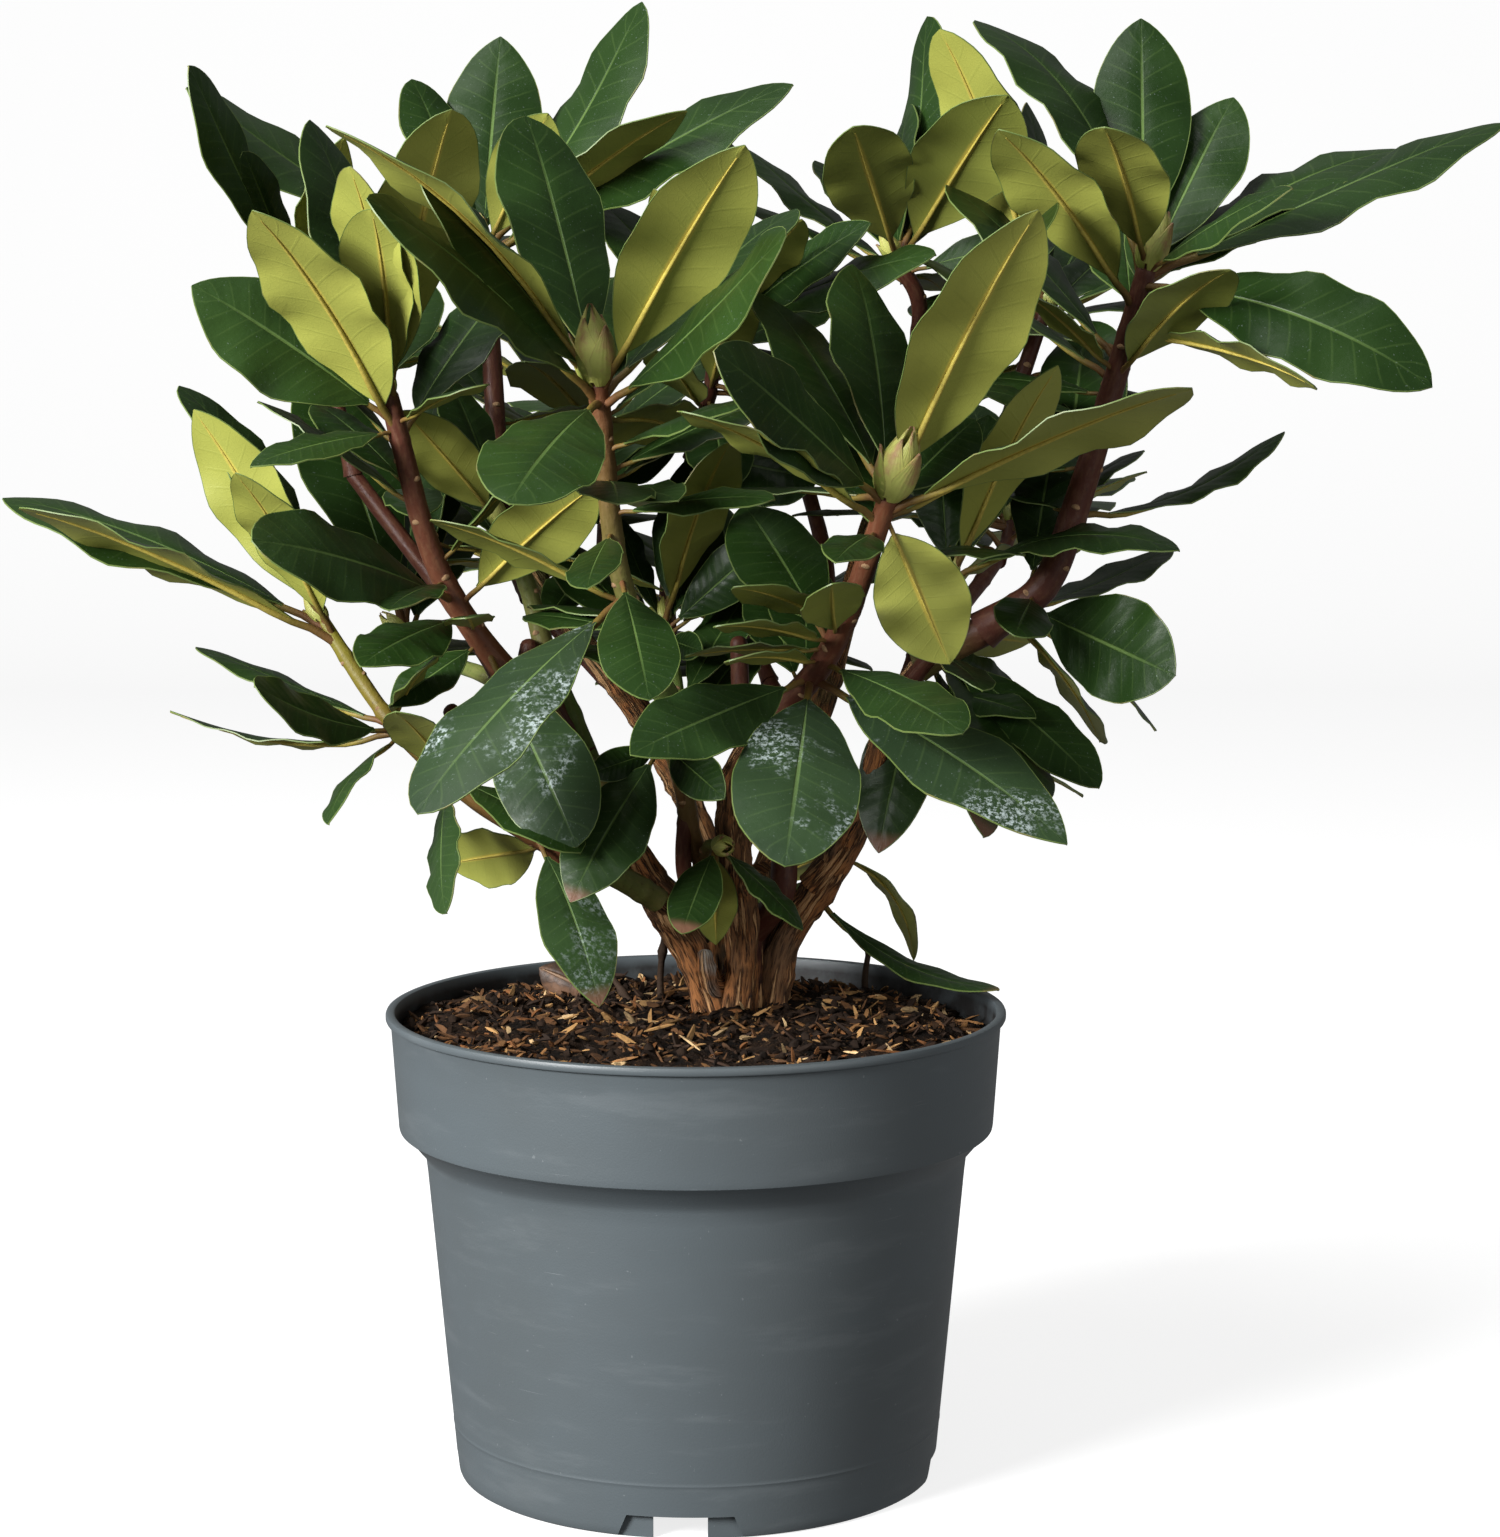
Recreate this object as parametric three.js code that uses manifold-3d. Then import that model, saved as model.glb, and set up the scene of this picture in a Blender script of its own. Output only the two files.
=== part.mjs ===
// A rhododendron in a round nursery pot: pot, soil, root crown, boughs and masses of leathery leaves.
// Millimetres, +Z up. The plant is laid out about the pot's axis, with the pot's underside at z = 0, +X to
// the right and -Y towards the front. The finished group is then moved so that the origin is the middle of
// its footprint.
import * as THREE from 'three';
import { mergeVertices } from 'three/addons/utils/BufferGeometryUtils.js';
import Module from 'manifold-3d';

const wasm = await Module();
wasm.setup();

const GAP = 0.3; // clearance that neighbouring pieces keep
const JOINT_GAP = 0.4; // what a limb's joint is cut back by, so that its flats keep GAP

const POT = {
  height: 174.7,
  rimRadius: 115,
  beadHeight: 3.2,
  beadOverhang: 1.6,
  bandFoot: 132, // lower edge of the deep band under the rim
  bandFootRadius: 110.5,
  shoulder: 123.5, // where the tapering wall begins
  shoulderRadius: 100.8,
  footRadius: 89.5,
  wall: 1.8,
  skirtWall: 3,
  floorUnderside: 9,
  floor: 2.5,
  notches: 4,
  notchTurn: -93, // degrees, the notch nearest the front
  notchWidth: 20.5,
  notchHeight: 8.6,
  tabWidth: 12,
  tabRecess: 1.1,
  drainRadius: 5,
  drainCircle: 62,
  sides: 40,
};

const SOIL = {
  crown: 165.7, // flat middle, where the root crown stands
  crownRadius: 62,
  edge: 162.5,
  tilt: -0.045, // the soil lies higher on the left
  sides: 32,
};

const ROOT_CROWN = {
  foot: [17, 21, SOIL.crown - 1.2],
  top: [19, 21, 199],
  flare: 19.5,
  waist: 16,
  shoulder: 17.5,
  sides: 10,
};

// Each bough leaves its parent at a share of the parent's length and runs through the listed places.
// radius holds its two ends.
const BOUGHS = {
  bough_left: {
    on: ['trunk', 0.72], radius: [8.6, 5.6], sides: 8,
    through: [[-17, 5, 220], [-35, -10, 257]],
  },
  bough_middle: {
    on: ['trunk', 0.8], radius: [7.8, 4.8], sides: 8,
    through: [[14, -10, 235], [16, -25, 266], [29, -38, 287]],
  },
  bough_right: {
    on: ['trunk', 0.74], radius: [7.6, 4.2], sides: 8,
    through: [[52, 15, 227], [65, 5, 259], [72, 0, 285], [82, 0, 301]],
  },
  bough_back: {
    on: ['trunk', 0.9], radius: [7, 3.6], sides: 7,
    through: [[36, 58, 243], [59, 80, 320], [80, 76, 394]],
  },
  bough_back_left: {
    on: ['trunk', 0.86], radius: [6, 3.8], sides: 7,
    through: [[-12, 62, 260], [-50, 52, 315], [-71, 36, 348]],
  },
  bough_centre: {
    on: ['bough_middle', 0.16], radius: [4, 3.2], sides: 6,
    through: [[0, -9, 236], [-5, -26, 270], [-10, -40, 295]],
  },
  bough_left_upper: {
    on: ['bough_left', 1], radius: [5, 4.6], sides: 7,
    through: [[-54, -19, 285], [-69, -25, 302]],
  },
  bough_left_low: {
    on: ['bough_left', 0.3], radius: [5, 4.4], sides: 6,
    through: [[-33, -14, 228], [-47, -28, 236]],
  },
  bough_left_inner: {
    on: ['bough_left', 0.94], radius: [4.2, 4], sides: 6,
    through: [[-44, -2, 279], [-54, 5, 301]],
  },
  bough_left_rear: {
    on: ['bough_left_upper', 0.72], radius: [3.2, 2.8], sides: 5,
    through: [[-76, -12, 299], [-88, 8, 301]],
  },
  bough_left_crest: {
    on: ['bough_left_upper', 0.9], radius: [3.4, 3], sides: 5,
    through: [[-88, -4, 324], [-110, 10, 350], [-127, 19, 371]],
  },
  bough_right_upper: {
    on: ['bough_right', 1], radius: [4.4, 6], sides: 7,
    through: [[93, -3, 308], [105, -5, 315]],
  },
  bough_right_back: {
    on: ['bough_right', 0.66], radius: [4, 3.2], sides: 6,
    through: [[95, 38, 334], [116, 50, 385]],
  },
  bough_crest: {
    on: ['bough_back_left', 0.36], radius: [3.6, 3], sides: 6,
    through: [[-12, 72, 324], [-2, 52, 376]],
  },
  bough_rear_left: {
    on: ['bough_back_left', 0.5], radius: [3.6, 3], sides: 5,
    through: [[-36, 92, 320], [-38, 122, 354]],
  },
  bough_rear_centre: {
    on: ['bough_back', 0.5], radius: [3.8, 3], sides: 5,
    through: [[50, 112, 332], [42, 148, 366]],
  },
  bough_rear_low: {
    on: ['bough_back', 0.3], radius: [3.8, 3], sides: 5,
    through: [[40, 98, 264], [28, 128, 284]],
  },
  bough_rear_foot: {
    on: ['bough_back_left', 0.56], radius: [3.2, 2.8], sides: 5,
    through: [[-58, 76, 312], [-67, 92, 320]],
  },
  bough_rear_right: {
    on: ['bough_right_back', 0.35], radius: [3.4, 3], sides: 5,
    through: [[104, 78, 320], [118, 108, 334]],
  },
};

// Each mass of foliage is one leafy shoot: a stem that grows on from a bough, with its leaves.
// A leaf is [place along the stem, heading, rise, length, roll, arch, width]. Heading and rise in degrees
// point from its root to its tip, and roll turns its upper side about that line. Arch is how far its middle
// lifts off the line, as a share of the length. What is left off at the end of a row takes LEAF's value.
// fan adds leaves by rule where the posed ones leave room: how many, and the headings they spread over.
const MASSES = {
  foliage_front_centre: {
    on: 'bough_centre', radius: [3.8, 3.6],
    through: [[-19, -55, 319], [-27, -65, 348], [-32, -80, 405]],
    leaves: [[0.97, -54, 44, 118, 20, 0.03, 38], [0.95, 40, 38, 112], [0.93, -58, 22, 112, -54],
      [0.96, 116, 58, 118, -6, 0.02], [0.98, -143, 45, 98, 52, 0.03, 34], [0.97, -142, 40, 138, 12, 0.08],
      [0.94, -134, 34, 122, 44], [0.95, -104, -16, 105, 14, 0.05], [0.9, 80, 42, 95, 50],
      [0.9, 70, -4, 85, 28], [0.42, -80, -28, 75, -6], [0.36, -134, -34, 118, 12, 0.05]],
    fan: { count: 2, middle: 70, spread: 40 },
  },
  foliage_left: {
    on: 'bough_left_upper', radius: [4.6, 3.4],
    through: [[-86, -30, 328], [-96, -35, 353], [-107, -45, 401]],
    leaves: [[0.84, -120, 48, 108, -6, 0.05], [0.93, 142, 70, 112, -10], [0.95, -98, 58, 98, 36],
      [1, -61, 61, 111, -6, 0.03, 38], [0.9, -128, 28, 110, 80, 0.04], [0.85, 54, 42, 90],
      [0.97, -90, 52, 85, 24], [0.28, -126, 20, 108, 50], [0.22, -114, -8, 75, 18],
      [0.26, -42, 34, 82, 36], [0.35, -104, -4, 60], [0.1, -54, -48, 88, -34, 0.04, 36]],
    fan: { count: 4, middle: 80, spread: 60 },
  },
  foliage_front_right: {
    on: 'bough_middle', radius: [4.8, 3.6],
    through: [[45, -55, 307], [55, -70, 329], [67, -90, 367]],
    leaves: [[0.97, -50, 52, 122, -4, 0.03, 40], [0.95, 26, 58, 125, 12], [0.93, -30, 22, 122, 12, 0.02],
      [0.98, 98, 52, 105, -34], [0.99, 122, 42, 108, -16], [0.97, -132, 32, 100, 70, 0.02],
      [0.9, -136, 24, 100, 6], [0.86, -106, -6, 55, 10], [0.84, 48, -38, 62, 56, 0, 32],
      [0.96, 50, 30, 60, -35], [0.22, -96, -30, 105, 10, 0.05, 44], [0.22, -134, -12, 90, 32, 0.02],
      [0.38, 114, 32, 90, 18], [0.4, -134, 10, 60, -12], [0.3, -54, -12, 80, -18],
      [0.22, -38, -24, 120, -24, 0.05, 44]],
    fan: { count: 4, middle: 90, spread: 60 },
  },
  foliage_right: {
    on: 'bough_right_upper', radius: [6, 3.6],
    through: [[127, -10, 332], [138, -12, 360], [149, -18, 399], [161, -25, 445]],
    leaves: [[0.98, 82, 60, 112, 24, 0.02, 40], [0.96, 138, 52, 125, -2, 0.14],
      [1, -108, 34, 85, 4, 0.05, 32], [0.9, -132, 38, 100, -6], [0.97, 50, 50, 90, -4, 0.02],
      [0.98, -2, 24, 138, -16, 0.01], [0.96, 20, 26, 118, -10, 0], [0.99, -48, 24, 72, -36],
      [0.95, 40, 26, 75, -18], [0.96, -34, -20, 115, -44, 0.12, 42], [0.72, -62, 30, 80, 30, 0.02, 36],
      [0.85, -46, -12, 85, 24], [0.38, 28, 18, 98, 0, -0.08], [0.38, 124, 8, 60], [0.35, 80, 46, 105, 20],
      [0.15, -100, -8, 60, 22], [0.1, 40, 10, 85, -4, -0.05], [0.12, -50, -10, 76, -74, 0, 40],
      [0.1, 30, -36, 80, -24], [0.08, 50, -40, 80, -30]],
    fan: { count: 6, middle: 95, spread: 75 },
  },
  foliage_top: {
    on: 'bough_back', radius: [3.4, 3],
    through: [[85, 70, 432], [76, 65, 451]],
    leaves: [[0.97, -62, 38, 97, 44, 0.02, 40], [0.99, -106, 34, 85, -24, 0.03, 34],
      [0.95, 78, 62, 112, 50, -0.05], [0.9, 152, 36, 85, 0, -0.02], [0.93, 132, 42, 65, -4],
      [0.95, 84, 58, 75, 64]],
    fan: { count: 5, middle: 95, spread: 85 },
  },
  foliage_back_left: {
    on: 'bough_back_left', radius: [3.9, 3.6],
    through: [[-75, 40, 380], [-78, 50, 421], [-82, 60, 456]],
    leaves: [[0.98, 88, 66, 92, -8, 0.02, 38], [0.96, -54, 48, 70, 38], [0.97, 26, 56, 118, -16, 0],
      [0.95, 18, 32, 98, -16], [0.93, -24, 34, 102, 10], [0.94, -4, 30, 135, -32, 0.02],
      [0.9, -164, 32, 130, 28, -0.03], [0.97, 140, 64, 75, 18, 0.03], [0.85, 56, -14, 70, -66]],
    fan: { count: 5, middle: 80, spread: 60 },
  },
  foliage_far_left: {
    on: 'bough_left_low', radius: [3.6, 2.6],
    through: [[-77, -35, 255], [-102, -30, 276], [-116, -20, 291], [-135, -10, 318]],
    leaves: [[0.97, 172, 22, 132, 10, 0.02], [0.93, -162, 24, 124, -10, 0], [0.98, 172, 54, 105, 8, 0.02],
      [0.96, -172, 58, 96, -54, 0.02], [0.95, -130, 48, 80, -2], [0.62, 156, 18, 88, 0, -0.03],
      [0.6, -132, 20, 75, 44, -0.06], [0.6, 164, 4, 90, -14, -0.12, 26], [0.58, -118, -24, 60, -52, 0.1],
      [0.64, -66, 30, 55, -36], [0.4, -88, -44, 60, -58], [0.1, -64, -46, 74, -4, 0.08],
      [0.05, 144, -10, 58, -60, 0, 26]],
    fan: { count: 2, middle: 110, spread: 30 },
  },
  foliage_left_crest: {
    on: 'bough_left_crest', radius: [3, 2.6],
    through: [[-135, 20, 406], [-145, 15, 439]],
    leaves: [[1, -120, 52, 98, 80, -0.06, 30], [0.98, -120, 56, 64, 90, 0, 24], [0.97, -50, 64, 63, -6]],
    fan: { count: 4, middle: 70, spread: 45 },
  },
  foliage_left_rear: {
    on: 'bough_left_rear', radius: [2.8, 2.6],
    through: [[-100, 20, 304], [-109, 25, 311]],
    leaves: [[1, 134, 60, 115, 12, 0.04, 40], [1, 106, 44, 85, -14], [1, 86, 50, 95, 14],
      [1, 82, 56, 115, 42]],
    fan: { count: 3, middle: 80, spread: 30 },
  },
  foliage_inner_left: {
    on: 'bough_left_inner', radius: [4, 2.8],
    through: [[-63, 8, 333], [-71, 5, 353]],
    leaves: [[1, -138, 44, 62, -48], [1, 136, 36, 36, 42], [0.97, 130, 58, 66, -6]],
    fan: { count: 4, middle: 20, spread: 60 },
  },
  foliage_right_crest: {
    on: 'bough_right_back', radius: [3.2, 2.8],
    through: [[124, 52, 410], [132, 55, 433]],
    leaves: [[1, -143, 63, 114, 7, 0.03, 32], [0.97, 100, 72, 84, -50], [0.95, 108, 44, 60, -12],
      [0.93, 118, 10, 60, -60], [0.9, 128, 6, 75, 24], [0.9, 42, 34, 60, -16]],
    fan: { count: 5, middle: 80, spread: 70 },
  },
  foliage_inner_right: {
    on: 'bough_right', at: 0.9, radius: [3.4, 2.8],
    through: [[90, -12, 314], [92, -15, 333]],
    leaves: [[1, -28, 10, 90, -14, 0.12], [1, 56, 12, 45, 42], [1, 92, 50, 60, 6],
      [0.98, -46, 58, 95, 4, 0.03, 32]],
    fan: { count: 3, middle: 120, spread: 60 },
  },
  foliage_low_right: {
    on: 'bough_right', at: 0.72, radius: [3.2, 2.6],
    through: [[82, 14, 300], [87, 18, 308]],
    leaves: [[1, -44, -26, 95, -22], [1, 48, -2, 60, 38], [0.6, -42, -6, 60, -16],
      [0.95, -74, -42, 85, 36], [0.95, -58, -32, 90, 18], [0.97, 40, -24, 55, -50]],
    fan: { count: 4, middle: 80, spread: 70 },
  },
  foliage_crest: {
    on: 'bough_crest', radius: [3, 2.6],
    through: [[5, 42, 402], [7, 35, 422]],
    leaves: [[1, -32, 32, 78, -54, 0.03, 26], [1, -32, 18, 98, -30], [1, 90, 62, 85, 34],
      [0.97, -122, 54, 68, 6], [0.95, -54, 40, 70, 4]],
    fan: { count: 5, middle: 110, spread: 80 },
  },
  foliage_heart: {
    on: 'bough_centre', at: 0.62, radius: [2.8, 2.4],
    through: [[-7, -4, 294], [-12, 13, 316]],
    leaves: [[1, 60, 66, 72], [0.98, -60, 56, 85, -12], [0.95, -24, 40, 55, -90], [0.93, 66, 46, 60],
      [0.9, 2, 40, 60, 46], [0.9, -64, -4, 30, -70]],
    fan: { count: 3, middle: 120, spread: 60 },
  },
  foliage_low_front: {
    on: 'bough_centre', at: 0.46, radius: [2.4, 2],
    through: [[-8, -30, 270], [-11, -38, 277]],
    leaves: [[1, -110, -46, 70, 24, 0.05, 30], [0.97, -60, -18, 45, -50], [0.95, -148, -14, 32, 75]],
  },
  foliage_low_centre: {
    on: 'bough_centre', at: 0.3, radius: [2.2, 1.8],
    through: [[5, -20, 238], [8, -27, 239]],
    leaves: [[1, -106, -30, 50, 10], [1, 92, -60, 46, 12], [0.9, -20, -40, 45, -10]],
  },
  foliage_foot_right: {
    on: 'bough_back', at: 0.08, radius: [2.6, 2.2],
    through: [[44, 60, 207], [50, 70, 210]],
    leaves: [[1, 42, -36, 62, 8, 0.2], [1, 20, -34, 90, -16, 0.06], [1, 115, -18, 55, -26]],
  },
  foliage_rear_left: {
    on: 'bough_rear_left', radius: [3, 2.6], leaves: [],
    through: [[-40, 136, 372], [-41, 142, 386]],
    fan: { count: 9, middle: 90, spread: 180 },
  },
  foliage_rear_centre: {
    on: 'bough_rear_centre', radius: [3, 2.6], leaves: [],
    through: [[38, 164, 384], [37, 172, 396]],
    fan: { count: 9, middle: 90, spread: 180 },
  },
  foliage_rear_low: {
    on: 'bough_rear_low', radius: [3, 2.6], leaves: [],
    through: [[22, 138, 298], [19, 143, 308]],
    fan: { count: 9, middle: 90, spread: 180 },
  },
  foliage_rear_foot: {
    on: 'bough_rear_foot', radius: [2.8, 2.4], leaves: [],
    through: [[-72, 101, 328], [-75, 105, 336]],
    fan: { count: 8, middle: 110, spread: 150 },
  },
  foliage_rear_right: {
    on: 'bough_rear_right', radius: [3, 2.6], leaves: [],
    through: [[123, 124, 340], [125, 132, 347]],
    fan: { count: 9, middle: 120, spread: 130 },
  },
};

const LEAF = {
  width: 0.37, // of the length
  petiole: 0.15, // share of the length that is bare stalk
  petioleRadius: 1.3,
  arch: 0.04,
  thickness: 0.016, // at the midrib, as a share of the length
};

// How far along a leaf each ring of its solid stands, and the share of the half width it has there.
const POSED_RINGS = [[0, 0], [LEAF.petiole, 0], [0.36, 0.8], [0.62, 1], [0.88, 0.62], [1, 0]];
const FAN_RINGS = [[0, 0], [LEAF.petiole, 0], [0.42, 0.94], [0.78, 0.86], [1, 0]];

const SHOOT_SIDES = 5;
const NO_FAN = { count: 0, middle: 0, spread: 0 };
const FAN = { place: 0.7, rise: -6, riseSpan: 50, length: 72, lengthSpan: 34, seed: 20 };
const GOLDEN = (Math.sqrt(5) - 1) / 2;

const FINISH = {
  pot: { color: 0x5d666b, roughness: 0.55, metalness: 0 },
  soil: { color: 0x2c211a, roughness: 0.95, metalness: 0 },
  bark: { color: 0x8a5a36, roughness: 0.85, metalness: 0 },
  leaf: { color: 0x24401f, roughness: 0.45, metalness: 0 },
};

const vector = (p) => new THREE.Vector3(...p);
const radians = THREE.MathUtils.degToRad;

/** Turns a three.js geometry into a manifold solid. */
function solid(geometry) {
  geometry.deleteAttribute('normal');
  geometry.deleteAttribute('uv');
  const merged = mergeVertices(geometry);
  const vertProperties = Float32Array.from(merged.attributes.position.array);
  const triVerts = Uint32Array.from(merged.index.array);
  return new wasm.Manifold(new wasm.Mesh({ numProp: 3, vertProperties, triVerts }));
}

/** Turns a manifold solid back into a three.js geometry. */
function geometryOf(body) {
  const { vertProperties, triVerts } = body.getMesh();
  const geometry = new THREE.BufferGeometry();
  geometry.setAttribute('position', new THREE.BufferAttribute(Float32Array.from(vertProperties), 3));
  geometry.setIndex(new THREE.BufferAttribute(Uint32Array.from(triVerts), 1));
  geometry.computeVertexNormals();
  return geometry;
}

/** The largest connected part of a body, without scraps or sealed hollows. */
function mainPart(body) {
  return body.decompose().reduce((best, part) => (part.volume() > best.volume() ? part : best));
}

/** Moves each vertex of a unit cylinder or cone, which stands on Y, to place(height share, x, z). */
function reshape(geometry, place) {
  geometry.deleteAttribute('normal');
  geometry.deleteAttribute('uv');
  const merged = mergeVertices(geometry);
  const position = merged.attributes.position;
  for (let i = 0; i < position.count; i += 1) {
    const p = place(position.getY(i) + 0.5, position.getX(i), position.getZ(i));
    position.setXYZ(i, p.x, p.y, p.z);
  }
  return merged;
}

/** The smooth line that a limb follows. */
function lineThrough(places) {
  return new THREE.CatmullRomCurve3(places.map(vector), false, 'catmullrom', 0.5);
}

/** A tapering limb along a line: a unit cylinder bent to it. swell maps the height share to a radius, and the
    limb's tip runs on past the end of the line by beyond. */
function limb(line, swell, sides, rings, beyond = 0) {
  const place = (share, x, z) => {
    const along = line.getTangentAt(share);
    const across = new THREE.Vector3(0, 1, 0).cross(along).normalize();
    const outward = across.clone().cross(along);
    const radius = swell(share);
    return line.getPointAt(share).addScaledVector(along, share > 0.999 ? beyond : 0)
      .addScaledVector(across, x * radius).addScaledVector(outward, z * radius);
  };
  return solid(reshape(new THREE.CylinderGeometry(1, 1, 1, sides, rings), place));
}

const taper = ([foot, tip], grow = 0) => (share) => THREE.MathUtils.lerp(foot, tip, share) + grow;

/** The root crown: a short stump that flares to a flat cut on the soil and swells again under the fork. */
function rootCrown(grow = 0) {
  const { foot, top, flare, waist, shoulder, sides } = ROOT_CROWN;
  const line = lineThrough([foot, top]);
  const swell = (share) => {
    const down = Math.max(0, 1 - share / 0.4);
    const up = Math.max(0, (share - 0.5) / 0.5);
    return waist + (flare - waist) * down ** 2 + (shoulder - waist) * up + grow;
  };
  const stump = limb(line, swell, sides, 4, grow);
  return { line, body: stump.trimByPlane([0, 0, 1], SOIL.crown + GAP) };
}

/** The directions of a leaf: along it, across it, and out of its upper side. */
function leafFrame(heading, rise, roll) {
  const h = radians(heading);
  const r = radians(rise);
  const along = new THREE.Vector3(Math.cos(r) * Math.cos(h), Math.cos(r) * Math.sin(h), Math.sin(r));
  const across = new THREE.Vector3(-Math.sin(h), Math.cos(h), 0).applyAxisAngle(along, -radians(roll));
  return { along, across, up: along.clone().cross(across) };
}

/** One leaf with its stalk: a three-sided cone whose rings take the blade's outline, keeled underneath. */
function leaf(root, row, rings) {
  const [, heading, rise, length, roll = 0, arch = LEAF.arch, width = LEAF.width * length] = row;
  const { along, across, up } = leafFrame(heading, rise, roll);
  const place = (share, x, z) => {
    const [at, half] = rings[Math.round(share * (rings.length - 1))];
    const halfWidth = Math.max((half * width) / 2, at < 1 ? LEAF.petioleRadius : 0);
    const keel = at < 1 ? Math.max(LEAF.thickness * length, LEAF.petioleRadius * (1 - at)) : 0;
    const side = Math.abs(x) > 1e-6 ? Math.sign(x) : 0;
    const lift = arch * length * 4 * at * (1 - at) - (z > 1e-6 ? keel : 0);
    return root.clone().addScaledVector(along, at * length)
      .addScaledVector(across, side * halfWidth).addScaledVector(up, lift);
  };
  return solid(reshape(new THREE.ConeGeometry(1, 1, 3, rings.length - 1), place));
}

/** The leaves that a fan adds: steps of uneven shares spread their headings, rises and lengths. */
function fanLeaves({ count, middle, spread }, turn) {
  const wave = (i, step) => (i * step + turn * GOLDEN) % 1;
  return Array.from({ length: count }, (_, i) => [
    FAN.place + (1 - FAN.place) * wave(i, 0.37),
    middle + spread * (2 * wave(i + 1, GOLDEN) - 1),
    FAN.rise + FAN.riseSpan * wave(i + 1, 0.755),
    FAN.length + FAN.lengthSpan * wave(i + 1, 0.569),
    0,
  ]);
}

const boxesMeet = (a, b) => [0, 1, 2].every((k) => a.min[k] <= b.max[k] + GAP && b.min[k] <= a.max[k] + GAP);

/** Whether two solids overlap or come closer than the gap. */
const touches = (a, b) => boxesMeet(a.box, b.box) && a.body.minGap(b.body, GAP) < GAP;

const withBox = (body, owner) => ({ body, owner, box: body.boundingBox() });

/** The pot: its section turned about its axis, less the notches, tabs and drain holes of its foot. */
function potShell() {
  const p = POT;
  const inner = p.wall;
  const rimInside = p.rimRadius - p.beadOverhang - inner;
  const profile = [
    [0, p.floorUnderside],
    [p.footRadius - p.skirtWall, p.floorUnderside],
    [p.footRadius - p.skirtWall, 0],
    [p.footRadius - 1, 0],
    [p.footRadius, 1.5],
    [p.shoulderRadius, p.shoulder],
    [p.bandFootRadius - 1.5, p.bandFoot - 2],
    [p.bandFootRadius, p.bandFoot],
    [p.rimRadius - p.beadOverhang, p.height - p.beadHeight],
    [p.rimRadius, p.height - p.beadHeight + 0.6],
    [p.rimRadius, p.height - 0.8],
    [p.rimRadius - 0.8, p.height],
    [rimInside, p.height],
    [p.bandFootRadius - inner, p.bandFoot + 0.5],
    [p.shoulderRadius - inner, p.shoulder + 1],
    [p.footRadius - inner - 0.6, p.floorUnderside + p.floor],
    [0, p.floorUnderside + p.floor],
  ];
  const shell = solid(turned(profile, p.sides));
  const turns = Array.from({ length: p.notches }, (_, i) => p.notchTurn + (i * 360) / p.notches);
  return turns.flatMap(notchCutters).reduce((body, cutter) => body.subtract(cutter), shell);
}

/** A profile of [radius, height] turned about Z. */
function turned(profile, sides) {
  const points = profile.map(([r, z]) => new THREE.Vector2(r, z));
  return new THREE.LatheGeometry(points, sides).rotateX(Math.PI / 2);
}

/** What one foot notch takes away: a slot through the skirt, a shallow tab on each side, a drain hole. */
function notchCutters(turn) {
  const p = POT;
  const slot = new THREE.BoxGeometry(14, p.notchWidth, 2 * p.notchHeight).translate(p.footRadius, 0, 0);
  const foot = p.notchWidth / 2 + p.tabWidth;
  const head = p.notchWidth / 2 + p.tabWidth * 0.7;
  const top = p.notchHeight + 1.5;
  const flank = [[foot, -1], [head, top], [-head, top], [-foot, -1]];
  const outline = new THREE.Shape(flank.map(([a, b]) => new THREE.Vector2(a, b)));
  const recess = new THREE.ExtrudeGeometry(outline, { depth: 10, bevelEnabled: false });
  recess.rotateX(Math.PI / 2).rotateZ(Math.PI / 2).translate(p.footRadius - p.tabRecess, 0, 0);
  const drain = new THREE.CylinderGeometry(p.drainRadius, p.drainRadius, 3 * p.floor, 10)
    .rotateX(Math.PI / 2).translate(p.drainCircle, 0, p.floorUnderside + p.floor / 2);
  return [slot, recess, drain].map((cutter) => solid(cutter.rotateZ(radians(turn))));
}

/** The soil that fills the pot: it clears the wall all round and lies higher on the left. */
function soilBody() {
  const p = POT;
  const clear = p.wall + GAP + 0.3;
  const bandSlope = (p.rimRadius - p.beadOverhang - p.bandFootRadius) / (p.height - p.bandFoot);
  const edgeRadius = p.bandFootRadius + bandSlope * (SOIL.edge - p.bandFoot) - clear;
  const profile = [
    [0, p.floorUnderside + p.floor + GAP],
    [p.footRadius - clear - 0.6, p.floorUnderside + p.floor + GAP],
    [p.shoulderRadius - clear - 0.3, p.shoulder + 1],
    [p.bandFootRadius - clear - 0.6, p.bandFoot + 1],
    [edgeRadius - 0.4, SOIL.edge],
    [SOIL.crownRadius, SOIL.crown],
    [0, SOIL.crown],
  ];
  const heap = turned(profile, SOIL.sides);
  const position = heap.attributes.position;
  for (let i = 0; i < position.count; i += 1) {
    const reach = Math.hypot(position.getX(i), position.getY(i));
    const onRim = reach > SOIL.crownRadius + 1 && position.getZ(i) > p.bandFoot + 2;
    if (onRim) position.setZ(i, position.getZ(i) + SOIL.tilt * position.getX(i));
  }
  return solid(heap);
}

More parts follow.
